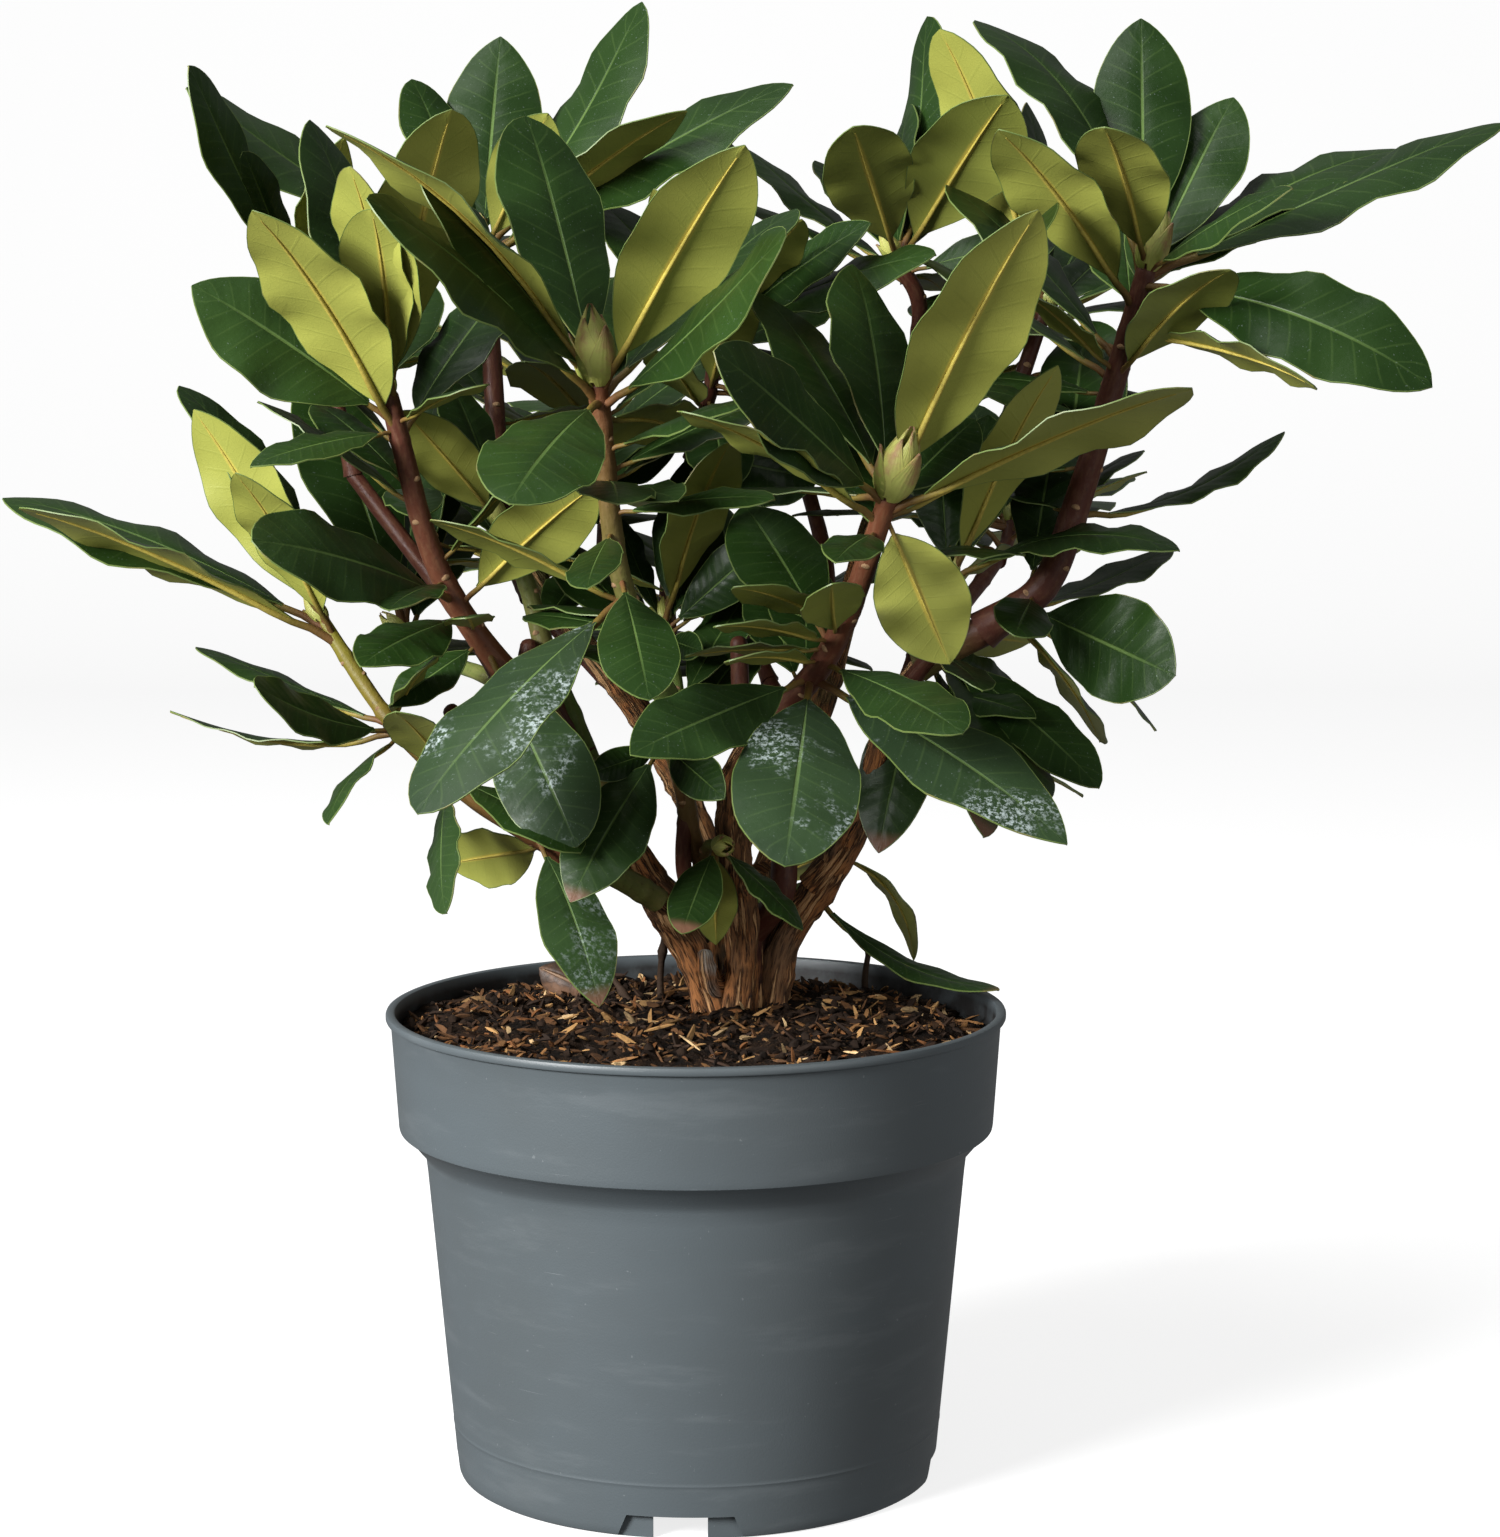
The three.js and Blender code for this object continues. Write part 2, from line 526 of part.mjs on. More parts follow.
/** Every limb as a body cut clear of the limbs made before it, with the line it follows. */
function growLimbs() {
  const crown = rootCrown();
  const limbs = { trunk: { line: crown.line, body: crown.body, room: rootCrown(JOINT_GAP).body } };
  const grow = (name, [parent, at], through, radius, sides, rings) => {
    const line = lineThrough([limbs[parent].line.getPointAt(at).toArray(), ...through]);
    const rooms = Object.values(limbs).map((other) => other.room);
    const body = rooms.reduce((rest, room) => rest.subtract(room), limb(line, taper(radius), sides, rings));
    const room = limb(line, taper(radius, JOINT_GAP), sides, rings, JOINT_GAP);
    limbs[name] = { line, body: mainPart(body), room };
  };
  for (const [name, { on, through, radius, sides }] of Object.entries(BOUGHS)) {
    grow(name, on, through, radius, sides, through.length + 1);
  }
  for (const [name, { on, at = 1, through, radius }] of Object.entries(MASSES)) {
    grow(name, [on, at], through, radius, SHOOT_SIDES, Math.max(2, through.length));
  }
  return limbs;
}

/** Every mass as one body: its stem and each leaf that keeps clear of the other masses and limbs. */
function growMasses(limbs, still) {
  const names = Object.keys(MASSES);
  const inTheWay = [...still.map((body) => withBox(body, '')),
    ...Object.entries(limbs).map(([name, { body }]) => withBox(body, name))];
  const kept = Object.fromEntries(names.map((name) => [name, [limbs[name].body]]));
  const grow = (name, row, rings) => {
    const part = withBox(leaf(limbs[name].line.getPointAt(row[0]), row, rings), name);
    if (inTheWay.some((other) => other.owner !== name && touches(part, other))) return;
    inTheWay.push(part);
    kept[name].push(part.body);
  };
  for (const name of names) MASSES[name].leaves.forEach((row) => grow(name, row, POSED_RINGS));
  names.forEach((name, turn) => {
    fanLeaves(MASSES[name].fan ?? NO_FAN, FAN.seed + turn).forEach((row) => grow(name, row, FAN_RINGS));
  });
  return Object.fromEntries(names.map((name) => [name, mainPart(wasm.Manifold.union(kept[name]))]));
}

const plant = new THREE.Group();

function add(name, body, finish) {
  const mesh = new THREE.Mesh(geometryOf(body), new THREE.MeshStandardMaterial(finish));
  mesh.name = name;
  plant.add(mesh);
}

const pot = potShell();
const soil = soilBody();
const limbs = growLimbs();
const masses = growMasses(limbs, [pot, soil]);

add('pot', pot, FINISH.pot);
add('soil', soil, FINISH.soil);
for (const [name, { body }] of Object.entries(limbs)) if (!(name in MASSES)) add(name, body, FINISH.bark);
for (const [name, body] of Object.entries(masses)) add(name, body, FINISH.leaf);

const extent = new THREE.Box3().setFromObject(plant);
const middle = extent.getCenter(new THREE.Vector3());
plant.position.set(-middle.x, -middle.y, -extent.min.z);

const rhododendron = new THREE.Group();
rhododendron.add(plant);

export default rhododendron;
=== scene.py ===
"""A potted rhododendron: pot, compost, forked woody limbs, leafy shoots with buds, and a plain studio."""
import logging
import math
from collections.abc import Callable
from dataclasses import dataclass, field
from enum import Enum

import bpy
import numpy as np
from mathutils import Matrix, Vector
from mathutils.bvhtree import BVHTree


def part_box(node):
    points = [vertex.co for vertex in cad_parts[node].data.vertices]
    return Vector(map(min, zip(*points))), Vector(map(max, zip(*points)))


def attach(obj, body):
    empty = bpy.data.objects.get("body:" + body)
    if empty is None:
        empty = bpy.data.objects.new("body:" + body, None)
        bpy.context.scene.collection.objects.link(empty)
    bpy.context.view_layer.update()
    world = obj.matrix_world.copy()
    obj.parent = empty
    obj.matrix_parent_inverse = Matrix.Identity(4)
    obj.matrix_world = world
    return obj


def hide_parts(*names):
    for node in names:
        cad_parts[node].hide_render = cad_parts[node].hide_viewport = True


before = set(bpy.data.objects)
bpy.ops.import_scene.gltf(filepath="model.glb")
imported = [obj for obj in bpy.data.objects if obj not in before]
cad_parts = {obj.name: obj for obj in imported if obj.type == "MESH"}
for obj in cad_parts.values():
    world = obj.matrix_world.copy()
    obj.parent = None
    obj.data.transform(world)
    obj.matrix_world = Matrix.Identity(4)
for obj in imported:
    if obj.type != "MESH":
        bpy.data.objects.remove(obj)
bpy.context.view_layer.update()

log = logging.getLogger("rhododendron")
MM = 0.001
TURN = 2 * math.pi
GOLDEN = (math.sqrt(5) - 1) / 2
GOLDEN_ANGLE = 2.39996
CELL_RIM = 0.03
Array = np.ndarray
Material = bpy.types.Material
Socket = bpy.types.NodeSocket
Place = tuple[float, float, float]
Colour = tuple[float, float, float]
Row = tuple[float, ...]
Sheet = tuple[Array, Array]


def pot_axis() -> Array:
    """The foot of the pot's axis in the row frame, in millimetres."""
    low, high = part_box("pot")
    return np.array([(low.x + high.x) / 2, (low.y + high.y) / 2, low.z]) / MM


AXIS = pot_axis()


# ------------------------ surfaces


@dataclass
class Surface:
    """Quads with what is painted on them, in millimetres about the pot's axis.

    Attributes:
        points: Corner places, (n, 3).
        faces: Corner numbers, (m, 4).
        lay: Pattern coordinates of the corners, (m, 4, 2).
        bake: Their places in the quad's cell, from 0 to 1, (m, 4, 2).
        cells: Numbers of the cells, (m,).
        slots: Numbers of the materials, (m,).
        traits: A colour or four shares for each point, (n, 4).
    """

    points: Array
    faces: Array
    lay: Array
    bake: Array
    cells: Array
    slots: Array
    traits: Array

    @staticmethod
    def join(parts: "list[Surface]") -> "Surface":
        """Puts surfaces together.

        Args:
            parts: The surfaces.

        Returns:
            One, whose corner and cell numbers run on.
        """
        fields = Surface.__dataclass_fields__
        joined = {key: np.concatenate([getattr(part, key) for part in parts]) for key in fields}
        starts = np.cumsum([0] + [len(p.points) for p in parts[:-1]])
        cells = np.cumsum([0] + [int(p.cells.max()) + 1 for p in parts[:-1]])
        joined["faces"] += np.repeat(starts, [len(p.faces) for p in parts])[:, None]
        joined["cells"] += np.repeat(cells, [len(p.cells) for p in parts])
        return Surface(**joined)

    def piece(self, name: str, materials: list[Material], slot: str, nodes: list[str],
              crease: float = 50.0) -> bpy.types.Object:
        """Makes the Blender piece, riding on the plant's only body.

        Args:
            name: Its name.
            materials: Its materials, in the order of the slot numbers.
            slot: The record's material slot. It is not used.
            nodes: The CAD nodes that it stands for.
            crease: Edges that turn by more than this many degrees stay sharp.

        Returns:
            The object.
        """
        mesh = bpy.data.meshes.new(name)
        count = len(self.faces)
        mesh.vertices.add(len(self.points))
        mesh.vertices.foreach_set("co", ((self.points + AXIS) * MM).astype(np.float32).ravel())
        mesh.loops.add(4 * count)
        mesh.loops.foreach_set("vertex_index", self.faces.astype(np.int32).ravel())
        mesh.polygons.add(count)
        mesh.polygons.foreach_set("loop_start", np.arange(0, 4 * count, 4, dtype=np.int32))
        mesh.polygons.foreach_set("material_index", self.slots.astype(np.int32))
        mesh.update(calc_edges=True)
        mesh.uv_layers.new(name="Lay").data.foreach_set("uv", self.lay.astype(np.float32).ravel())
        side = math.ceil(math.sqrt(self.cells.max() + 1))
        corner = np.stack([self.cells % side, self.cells // side], 1)[:, None, :]
        atlas = (corner + CELL_RIM + (1 - 2 * CELL_RIM) * self.bake) / side
        mesh.uv_layers.new(name="OFBake").data.foreach_set("uv", atlas.astype(np.float32).ravel())
        tint = mesh.color_attributes.new(name="Traits", type="FLOAT_COLOR", domain="POINT")
        tint.data.foreach_set("color", self.traits.astype(np.float32).ravel())
        mesh.validate()
        mesh.shade_smooth()
        mesh.set_sharp_from_angle(angle=math.radians(crease))
        for material in materials:
            mesh.materials.append(material)
        thing = bpy.data.objects.new(name, mesh)
        bpy.context.scene.collection.objects.link(thing)
        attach(thing, "root")
        if nodes:
            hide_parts(*nodes)
        log.info("%s: %d quads", name, count)
        return thing


def lattice(rows: int, columns: int, round_: bool) -> Array:
    """Corner numbers of the quads of a grid whose points run row by row.

    Args:
        rows: Points along.
        columns: Points across.
        round_: Whether the last column joins the first.

    Returns:
        (m, 4) numbers.
    """
    i, j = np.meshgrid(np.arange(rows - 1), np.arange(columns if round_ else columns - 1), indexing="ij")
    k = (j + 1) % columns
    quads = [i * columns + j, (i + 1) * columns + j, (i + 1) * columns + k, i * columns + k]
    return np.stack(quads, -1).reshape(-1, 4)


def round_about(count: int) -> Array:
    """Even angles round a circle, in radians."""
    return np.linspace(0, TURN, count, endpoint=False)


def lid(columns: int) -> Array:
    """Quads that close a ring of an even number of points: each joins two neighbours to the two across."""
    i = np.arange(columns // 2 - 1)
    return np.stack([i, i + 1, columns - 2 - i, columns - 1 - i], -1)


def tube(rings: Array, distance: Array, traits: Array) -> Surface:
    """A closed surface through rings of points, with a lid at each end.

    Args:
        rings: (n, m, 3) points, ring by ring, turning from across towards outward.
        distance: (n,) how far along each ring stands.
        traits: (n, 4) colour of each ring.

    Returns:
        The surface. Its lay runs along in metres, and round from 0 to 1.
    """
    n, m = rings.shape[:2]
    wall = lattice(n, m, True)
    faces = np.concatenate([wall, lid(m), (n - 1) * m + lid(m)[:, ::-1]])
    ring = faces // m
    turn = (faces % m) / m
    wraps = (turn.max(1) - turn.min(1) > 0.7) & (np.arange(len(faces)) < len(wall))
    turn = np.where(wraps[:, None] & (turn < 0.3), turn + 1, turn)
    lay = np.stack([distance[ring] * MM, turn], -1)
    share = ring / (n - 1)
    bake = np.stack([0.04 + 0.9 * share, turn], -1)
    return Surface(rings.reshape(-1, 3), faces, lay, bake, np.zeros(len(faces), int),
                   np.zeros(len(faces), int), np.repeat(traits, m, 0))


def steady_frames(path: Array) -> tuple[Array, Array, Array]:
    """Directions along a path, with the two across it turned no more than the path turns.

    Args:
        path: (n, 3) places.

    Returns:
        Unit vectors along, across and outward, each (n, 3).
    """
    along = np.gradient(path, axis=0)
    along /= np.linalg.norm(along, axis=1, keepdims=True)
    across = np.empty_like(along)
    first = np.cross((0.0, 1.0, 0.0), along[0])
    across[0] = first / np.linalg.norm(first)
    for i in range(1, len(path)):
        kept = across[i - 1] - along[i] * np.dot(across[i - 1], along[i])
        across[i] = kept / np.linalg.norm(kept)
    return along, across, np.cross(across, along)


def rings_round(path: Array, across: Array, outward: Array, reach: Array, turn: Array) -> Array:
    """Rings of points round a path, (n, m, 3): cosine * across + sine * outward, times the reach."""
    cosine, sine = np.cos(turn)[None, :, None], np.sin(turn)[None, :, None]
    return path[:, None] + reach * (across[:, None] * cosine + outward[:, None] * sine)


def pointing(heading: Array, rise: Array) -> tuple[Array, Array]:
    """Directions by heading and rise.

    Args:
        heading: Radians about the axis.
        rise: Radians over the level.

    Returns:
        Unit vectors along, and level ones square to them, each (n, 3).
    """
    level = np.cos(rise)
    along = np.stack([level * np.cos(heading), level * np.sin(heading), np.sin(rise)], 1)
    return along, np.stack([-np.sin(heading), np.cos(heading), 0 * heading], 1)


def ripples(around: Array, distance: Array, seed: int, pitch: float) -> Array:
    """Relief round a limb: a sum of cosine waves round it.

    Each wave's phase wanders along the limb as a slow sine, so the ridges run lengthwise, meet and part.

    Args:
        around: Angles.
        distance: Millimetres along.
        seed: Picks the phases.
        pitch: Length over which a ridge wanders.

    Returns:
        The relief, from -1 to 1.
    """
    draw = np.random.default_rng(seed)
    total = 0.0
    for wave in (2, 3, 5, 7, 11):
        phase, start, bend = draw.uniform(0, TURN, 2).tolist() + [draw.uniform(0.6, 1.4)]
        wander = bend * np.sin(distance / pitch * TURN * (0.5 + wave / 9) + start)
        total = total + np.cos(wave * around + phase + 1.6 * wander) / math.sqrt(wave)
    return total / 2.6


def value_noise(x: Array, y: Array, seed: int) -> Array:
    """Smooth noise on a plane: random numbers on a unit lattice, blended by a smooth step.

    Args:
        x: First coordinates.
        y: Second coordinates.
        seed: Picks the numbers.

    Returns:
        The noise, from 0 to 1.
    """
    table = np.random.default_rng(seed).random((64, 64))
    i, j = np.floor(x).astype(int), np.floor(y).astype(int)
    u, v = x - i, y - j
    u, v = u * u * (3 - 2 * u), v * v * (3 - 2 * v)
    corner = [[table[(i + a) % 64, (j + b) % 64] for b in (0, 1)] for a in (0, 1)]
    near = corner[0][0] * (1 - v) + corner[0][1] * v
    far = corner[1][0] * (1 - v) + corner[1][1] * v
    return near * (1 - u) + far * u


# ------------------------ shader maths


def _math(operation: str, flip: bool = False) -> "Callable[..., Value]":
    """Makes a method of Value that adds a Math node.

    Args:
        operation: What the node does.
        flip: Whether the value itself is its last term.

    Returns:
        The method.
    """
    def method(value: "Value", *others: "Value | float") -> "Value":
        """Adds the node on a value and its other terms."""
        terms = (*others, value) if flip else (value, *others)
        return value.graph.number("Math", {"operation": operation}, dict(enumerate(terms)))
    return method


class Value:
    """A socket that carries numbers. Arithmetic on it adds Math nodes."""

    def __init__(self, graph: "Graph", socket: Socket) -> None:
        """Wraps an output socket of a graph."""
        self.graph, self.socket = graph, socket

    __add__, __mul__, __pow__ = _math("ADD"), _math("MULTIPLY"), _math("POWER")
    __sub__, __rsub__ = _math("SUBTRACT"), _math("SUBTRACT", flip=True)
    sine, size = _math("SINE"), _math("ABSOLUTE")

    def ramp(self, low: float, high: float) -> "Value":
        """A smooth step.

        Args:
            low: Where it is 0.
            high: Where it is 1, on either side of low.

        Returns:
            The share, from 0 to 1.
        """
        settings = {"interpolation_type": "SMOOTHSTEP"}
        inputs = {0: self, 1: low, 2: high, 3: 0.0, 4: 1.0}
        return self.graph.number("MapRange", settings, inputs)


class Graph:
    """The nodes of one material, with one Principled shader."""

    def __init__(self, name: str) -> None:
        """Starts an empty material.

        Args:
            name: The material's name.
        """
        self.material = bpy.data.materials.new(name)
        self.material.use_nodes = True
        self.tree = self.material.node_tree
        self.tree.nodes.clear()
        self.shader = self.node("BsdfPrincipled")
        self.node("OutputMaterial", inputs={0: self.shader.outputs[0]})

    def node(self, kind: str, settings: dict | None = None, inputs: dict | None = None) -> bpy.types.Node:
        """Adds a node.

        Args:
            kind: Its type, without the word ShaderNode.
            settings: Attributes, set first.
            inputs: Values or sockets by name or number.

        Returns:
            The node.
        """
        made = self.tree.nodes.new("ShaderNode" + kind)
        for key, value in (settings or {}).items():
            setattr(made, key, value)
        for key, value in (inputs or {}).items():
            self._feed(made.inputs[key], value)
        return made

    def number(self, kind: str, settings: dict, inputs: dict) -> Value:
        """Adds a node and takes its first output as a number."""
        return Value(self, self.node(kind, settings, inputs).outputs[0])

    def _feed(self, socket: Socket, value: object) -> None:
        """Links or sets an input.

        Args:
            socket: The input.
            value: A Value, a socket, a colour or a plain value.
        """
        if isinstance(value, Value):
            value = value.socket
        if isinstance(value, Socket):
            self.tree.links.new(value, socket)
        elif isinstance(value, tuple) and socket.type == "RGBA":
            socket.default_value = (*value, 1.0)
        else:
            socket.default_value = value

    def _mapped(self, source: Socket, scale: Place) -> Socket:
        """Coordinates, stretched by scale."""
        return self.node("Mapping", inputs={"Vector": source, "Scale": scale}).outputs[0]

    def place(self, scale: Place = (1.0, 1.0, 1.0)) -> Socket:
        """Object coordinates, stretched by scale."""
        return self._mapped(self.node("TexCoord").outputs["Object"], scale)

    def lay(self, scale: Place = (1.0, 1.0, 1.0)) -> Socket:
        """The piece's own pattern coordinates, stretched by scale."""
        return self._mapped(self.node("UVMap", {"uv_map": "Lay"}).outputs[0], scale)

    def leaf(self) -> tuple[Value, Value]:
        """Pattern coordinates of a leaf or scale.

        Returns:
            The share along it, and the distance from its middle line, 1 at the edge.
        """
        split = self.node("SeparateXYZ", inputs={0: self.lay()})
        along, across = (Value(self, split.outputs[k]) for k in range(2))
        return along, (across - 0.5).size() * 2

    def veins(self, along: Value, off: Value, steps: float) -> Value:
        """Side veins: a sine with so many steps along the leaf, drawn back in a curve towards its edge."""
        return ((along - off ** 0.8 * 0.13) * steps * TURN + off * 1.3).sine()

    def withered(self, along: Value, brown: Value, cloud: Value) -> Value:
        """Share of dead brown at a leaf's tip: a step where along, cloud and half of brown pass 1."""
        return (along + cloud * 0.16 + brown * 0.5).ramp(1.02, 1.12) * brown.ramp(0.02, 0.1)

    def traits(self) -> tuple[Socket, Value, Value, Value]:
        """The piece's painted traits.

        Returns:
            Them as a colour, and its red, green and blue as numbers.
        """
        colour = self.node("VertexColor", {"layer_name": "Traits"}).outputs[0]
        split = self.node("SeparateColor", inputs={0: colour})
        return colour, *(Value(self, split.outputs[k]) for k in range(3))

    def noise(self, scale: float, detail: float = 3.0, rough: float = 0.55,
              vector: Socket | None = None) -> Value:
        """Cloudy noise of about 0.3 to 0.7.

        Args:
            scale: Clouds to a metre, or to a unit of the vector.
            detail: How many finer sizes lie over the first.
            rough: Strength of each over that of the one before.
            vector: What it runs on, or None for object coordinates.

        Returns:
            The noise.
        """
        vector = self.place() if vector is None else vector
        inputs = {"Vector": vector, "Scale": scale, "Detail": detail, "Roughness": rough}
        return self.number("TexNoise", {}, inputs)

    def mix(self, share: "Value | float", low: object, high: object) -> Socket:
        """Blends two colours, low at share 0 and high at share 1."""
        settings = {"data_type": "RGBA", "clamp_factor": True}
        return self.node("Mix", settings, {0: share, 6: low, 7: high}).outputs[2]

    def relief(self, height: Value, depth: float, strength: float = 1.0) -> Socket:
        """A normal that is bumped by a height, depth metres deep."""
        inputs = {"Height": height, "Distance": depth, "Strength": strength}
        return self.node("Bump", inputs=inputs).outputs[0]

    def finish(self, colour: object, roughness: "Value | float", normal: Socket | None = None,
               gloss: float = 0.5, glow: float = 0.0) -> Material:
        """Feeds the shader.

        Args:
            colour: Colour or socket.
            roughness: From 0 to 1.
            normal: The bumped normal, where there is one.
            gloss: Strength of the highlight.
            glow: Strength of white light that it sends out.

        Returns:
            The material.
        """
        values = {"Base Color": colour, "Roughness": roughness, "Specular IOR Level": gloss,
                  "Emission Color": (1.0, 1.0, 1.0), "Emission Strength": glow}
        for key, value in (values if normal is None else values | {"Normal": normal}).items():
            self._feed(self.shader.inputs[key], value)
        return self.material


# ------------------------ finishes


@dataclass(frozen=True)
class LeafTop:
    """Upper side of a leaf: dark and leathery, with a pale midrib, specks and lime spots.

    Traits are shade, lime residue and browning of the tip. On some leaves the shade is painted light.
    """

    name: str = "leaf_top"
    deep: Colour = (0.007, 0.02, 0.0035)
    fresh: Colour = (0.019, 0.0455, 0.008)
    rib: Colour = (0.105, 0.17, 0.045)
    lime: Colour = (0.36, 0.42, 0.42)
    brown: Colour = (0.13, 0.066, 0.04)
    steps: float = 12.0
    roughness: float = 0.4

    def make(self) -> Material:
        """Mixes two greens by shade and cloud, then lays veins, midrib, lime and the brown tip over.

        Returns:
            The material.
        """
        g = Graph(self.name)
        along, off = g.leaf()
        _, shade, lime, brown = g.traits()
        vein = g.veins(along, off, self.steps)
        vein_line = vein.ramp(0.9, 1.0) * off.ramp(1.0, 0.55)
        rib = off.ramp(0.046, 0.015) * along.ramp(1.1, 0.3)
        cloud = g.noise(26.0)
        speck = g.noise(1300.0, 1.0).ramp(0.7, 0.78)
        # Deep to fresh green by the shade trait, which on some leaves is painted light for how the lamps fall
        # on them.
        green = g.mix(shade * 0.7 + cloud.ramp(0.35, 0.7) * 0.4, self.deep, self.fresh)
        green = g.mix(vein_line * 0.1, green, self.rib)
        green = g.mix(rib * 0.75, green, self.rib)
        grain = g.noise(620.0, 3.0, 0.7)
        crust = g.noise(38.0, 4.0, 0.65).ramp(0.5, 0.66) * grain.ramp(0.46, 0.64)
        lime_on = crust * lime.ramp(0.25, 1.0) * 0.85 + lime * 0.03 + speck * 0.15
        green = g.mix(lime_on, green, self.lime)
        green = g.mix(g.withered(along, brown, cloud), green, self.brown)
        height = vein * 0.09 * off.ramp(1.0, 0.7) - rib * 0.9 + g.noise(420.0, 2.0) * 0.35
        rough = cloud * 0.14 + self.roughness - 0.07 + lime_on * 0.35
        return g.finish(green, rough, g.relief(height, 0.0005, 0.7), gloss=0.17)


@dataclass(frozen=True)
class LeafUnder:
    """Under side of a leaf: matt yellow green, with a yellow midrib and a net of veins."""

    name: str = "leaf_under"
    pale: Colour = (0.292, 0.3, 0.056)
    olive: Colour = (0.19, 0.215, 0.038)
    rib: Colour = (0.5, 0.385, 0.066)
    brown: Colour = (0.19, 0.105, 0.045)
    steps: float = 11.0
    roughness: float = 0.55

    def make(self) -> Material:
        """Mixes pale and olive by shade and cloud, then lays the net, the veins and the midrib over.

        Returns:
            The material.
        """
        g = Graph(self.name)
        along, off = g.leaf()
        _, shade, _, brown = g.traits()
        line = g.veins(along, off, self.steps).ramp(0.88, 1.0) * off.ramp(1.0, 0.6)
        rib = off.ramp(0.11, 0.03) * along.ramp(1.15, 0.5)
        cloud = g.noise(30.0)
        cells = g.node("TexVoronoi", {"feature": "DISTANCE_TO_EDGE"}, {"Vector": g.place(), "Scale": 520.0})
        net = Value(g, cells.outputs["Distance"]).ramp(0.1, 0.02)
        # Pale to olive by the shade trait, which on some leaves is painted shade or light for how the lamps
        # fall on them.
        colour = g.mix(shade * 0.75 + cloud.ramp(0.3, 0.7) * 0.35 - 0.05, self.pale, self.olive)
        colour = g.mix(net * 0.12, colour, self.olive)
        colour = g.mix(line * 0.12, colour, self.olive)
        colour = g.mix(rib * 0.8, colour, self.rib)
        colour = g.mix(g.withered(along, brown, cloud), colour, self.brown)
        height = line * 0.12 + net * 0.05
        return g.finish(colour, self.roughness, g.relief(height, 0.0005, 0.6), gloss=0.35)


@dataclass(frozen=True)
class LeafMargin:
    """The thin pale line round a leaf."""

    name: str = "leaf_margin"
    colour: Colour = (0.095, 0.14, 0.032)
    dry: Colour = (0.17, 0.13, 0.05)

    def make(self) -> Material:
        """Mixes in drier stretches here and there.

        Returns:
            The material.
        """
        g = Graph(self.name)
        dry = g.noise(60.0).ramp(0.56, 0.68)
        return g.finish(g.mix(dry * 0.6, self.colour, self.dry), 0.5)


@dataclass(frozen=True)
class Stalk:
    """Leaf stalks and the raised ribs that they run on into. Traits hold the colour."""

    name: str = "stalk"
    dark: Colour = (0.05, 0.03, 0.015)
    roughness: float = 0.6

    def make(self) -> Material:
        """Strews fine specks over the painted colour.

        Returns:
            The material.
        """
        g = Graph(self.name)
        colour, *_ = g.traits()
        speck = g.noise(650.0, 2.0)
        shown = g.mix(speck.ramp(0.45, 0.7) * 0.22, colour, self.dark)
        return g.finish(shown, self.roughness, g.relief(speck, 0.0003, 0.5), gloss=0.3)


@dataclass(frozen=True)
class ShootSkin:
    """Skin of young wood, glossy and finely cracked. Traits hold the colour."""

    name: str = "shoot_skin"
    dry: Colour = (0.24, 0.145, 0.07)
    dark: Colour = (0.028, 0.014, 0.009)
    roughness: float = 0.45

    def make(self) -> Material:
        """Streaks the painted colour lengthwise and freckles it.

        Returns:
            The material.
        """
        g = Graph(self.name)
        colour, *_ = g.traits()
        streak = g.noise(3.0, 4.0, 0.6, vector=g.lay((60.0, 5.0, 1.0)))
        freckle = g.noise(480.0, 3.0, 0.6)
        shown = g.mix(streak.ramp(0.42, 0.7) * 0.3, colour, g.mix(0.5, colour, self.dry))
        shown = g.mix(freckle.ramp(0.58, 0.7) * 0.35, shown, self.dark)
        height = streak * 0.3 + freckle * 0.5
        return g.finish(shown, streak * 0.3 + self.roughness - 0.12, g.relief(height, 0.0007, 0.7),
                        gloss=0.22)


@dataclass(frozen=True)
class Bark:
    """Old bark: peeling orange brown strips over dark cracks. Traits hold the colour where it weathers."""

    name: str = "old_bark"
    strip: Colour = (0.36, 0.145, 0.048)
    tan: Colour = (0.6, 0.34, 0.155)
    crack: Colour = (0.02, 0.011, 0.007)

    def make(self) -> Material:
        """Makes long flakes from noise that is stretched along the limb.

        Returns:
            The material.
        """
        g = Graph(self.name)
        colour, *_ = g.traits()
        flake = g.noise(2.2, 6.0, 0.62, vector=g.lay((12.0, 5.0, 1.0)))
        fine = g.noise(2.0, 4.0, 0.65, vector=g.lay((60.0, 28.0, 1.0)))
        patch = g.noise(55.0, 3.0)
        shown = g.mix(patch.ramp(0.42, 0.62), colour, self.strip)
        shown = g.mix(flake.ramp(0.53, 0.58) * 0.8, shown, self.tan)
        rim = (flake - 0.51).size().ramp(0.035, 0.008) * patch.ramp(0.35, 0.55)
        cracked = fine.ramp(0.5, 0.38) * 0.5 + flake.ramp(0.44, 0.37) * 0.6 + rim * 0.7
        shown = g.mix(cracked, shown, self.crack)
        height = flake.ramp(0.46, 0.58) + fine * 0.5 - rim * 0.4
        return g.finish(shown, fine * 0.2 + 0.72, g.relief(height, 0.0016, 0.9), gloss=0.25)


@dataclass(frozen=True)
class Painted:
    """Small woody or earthy bits whose colour is in their traits."""

    name: str
    roughness: float = 0.85
    grain: float = 380.0
    dark: Colour = (0.018, 0.01, 0.006)

    def make(self) -> Material:
        """Breaks the painted colour up by a dark grain.

        Returns:
            The material.
        """
        g = Graph(self.name)
        colour, *_ = g.traits()
        grain = g.noise(self.grain, 4.0, 0.65)
        shown = g.mix(grain.ramp(0.48, 0.68) * 0.6, colour, self.dark)
        return g.finish(shown, self.roughness, g.relief(grain, 0.0008, 0.8), gloss=0.2)


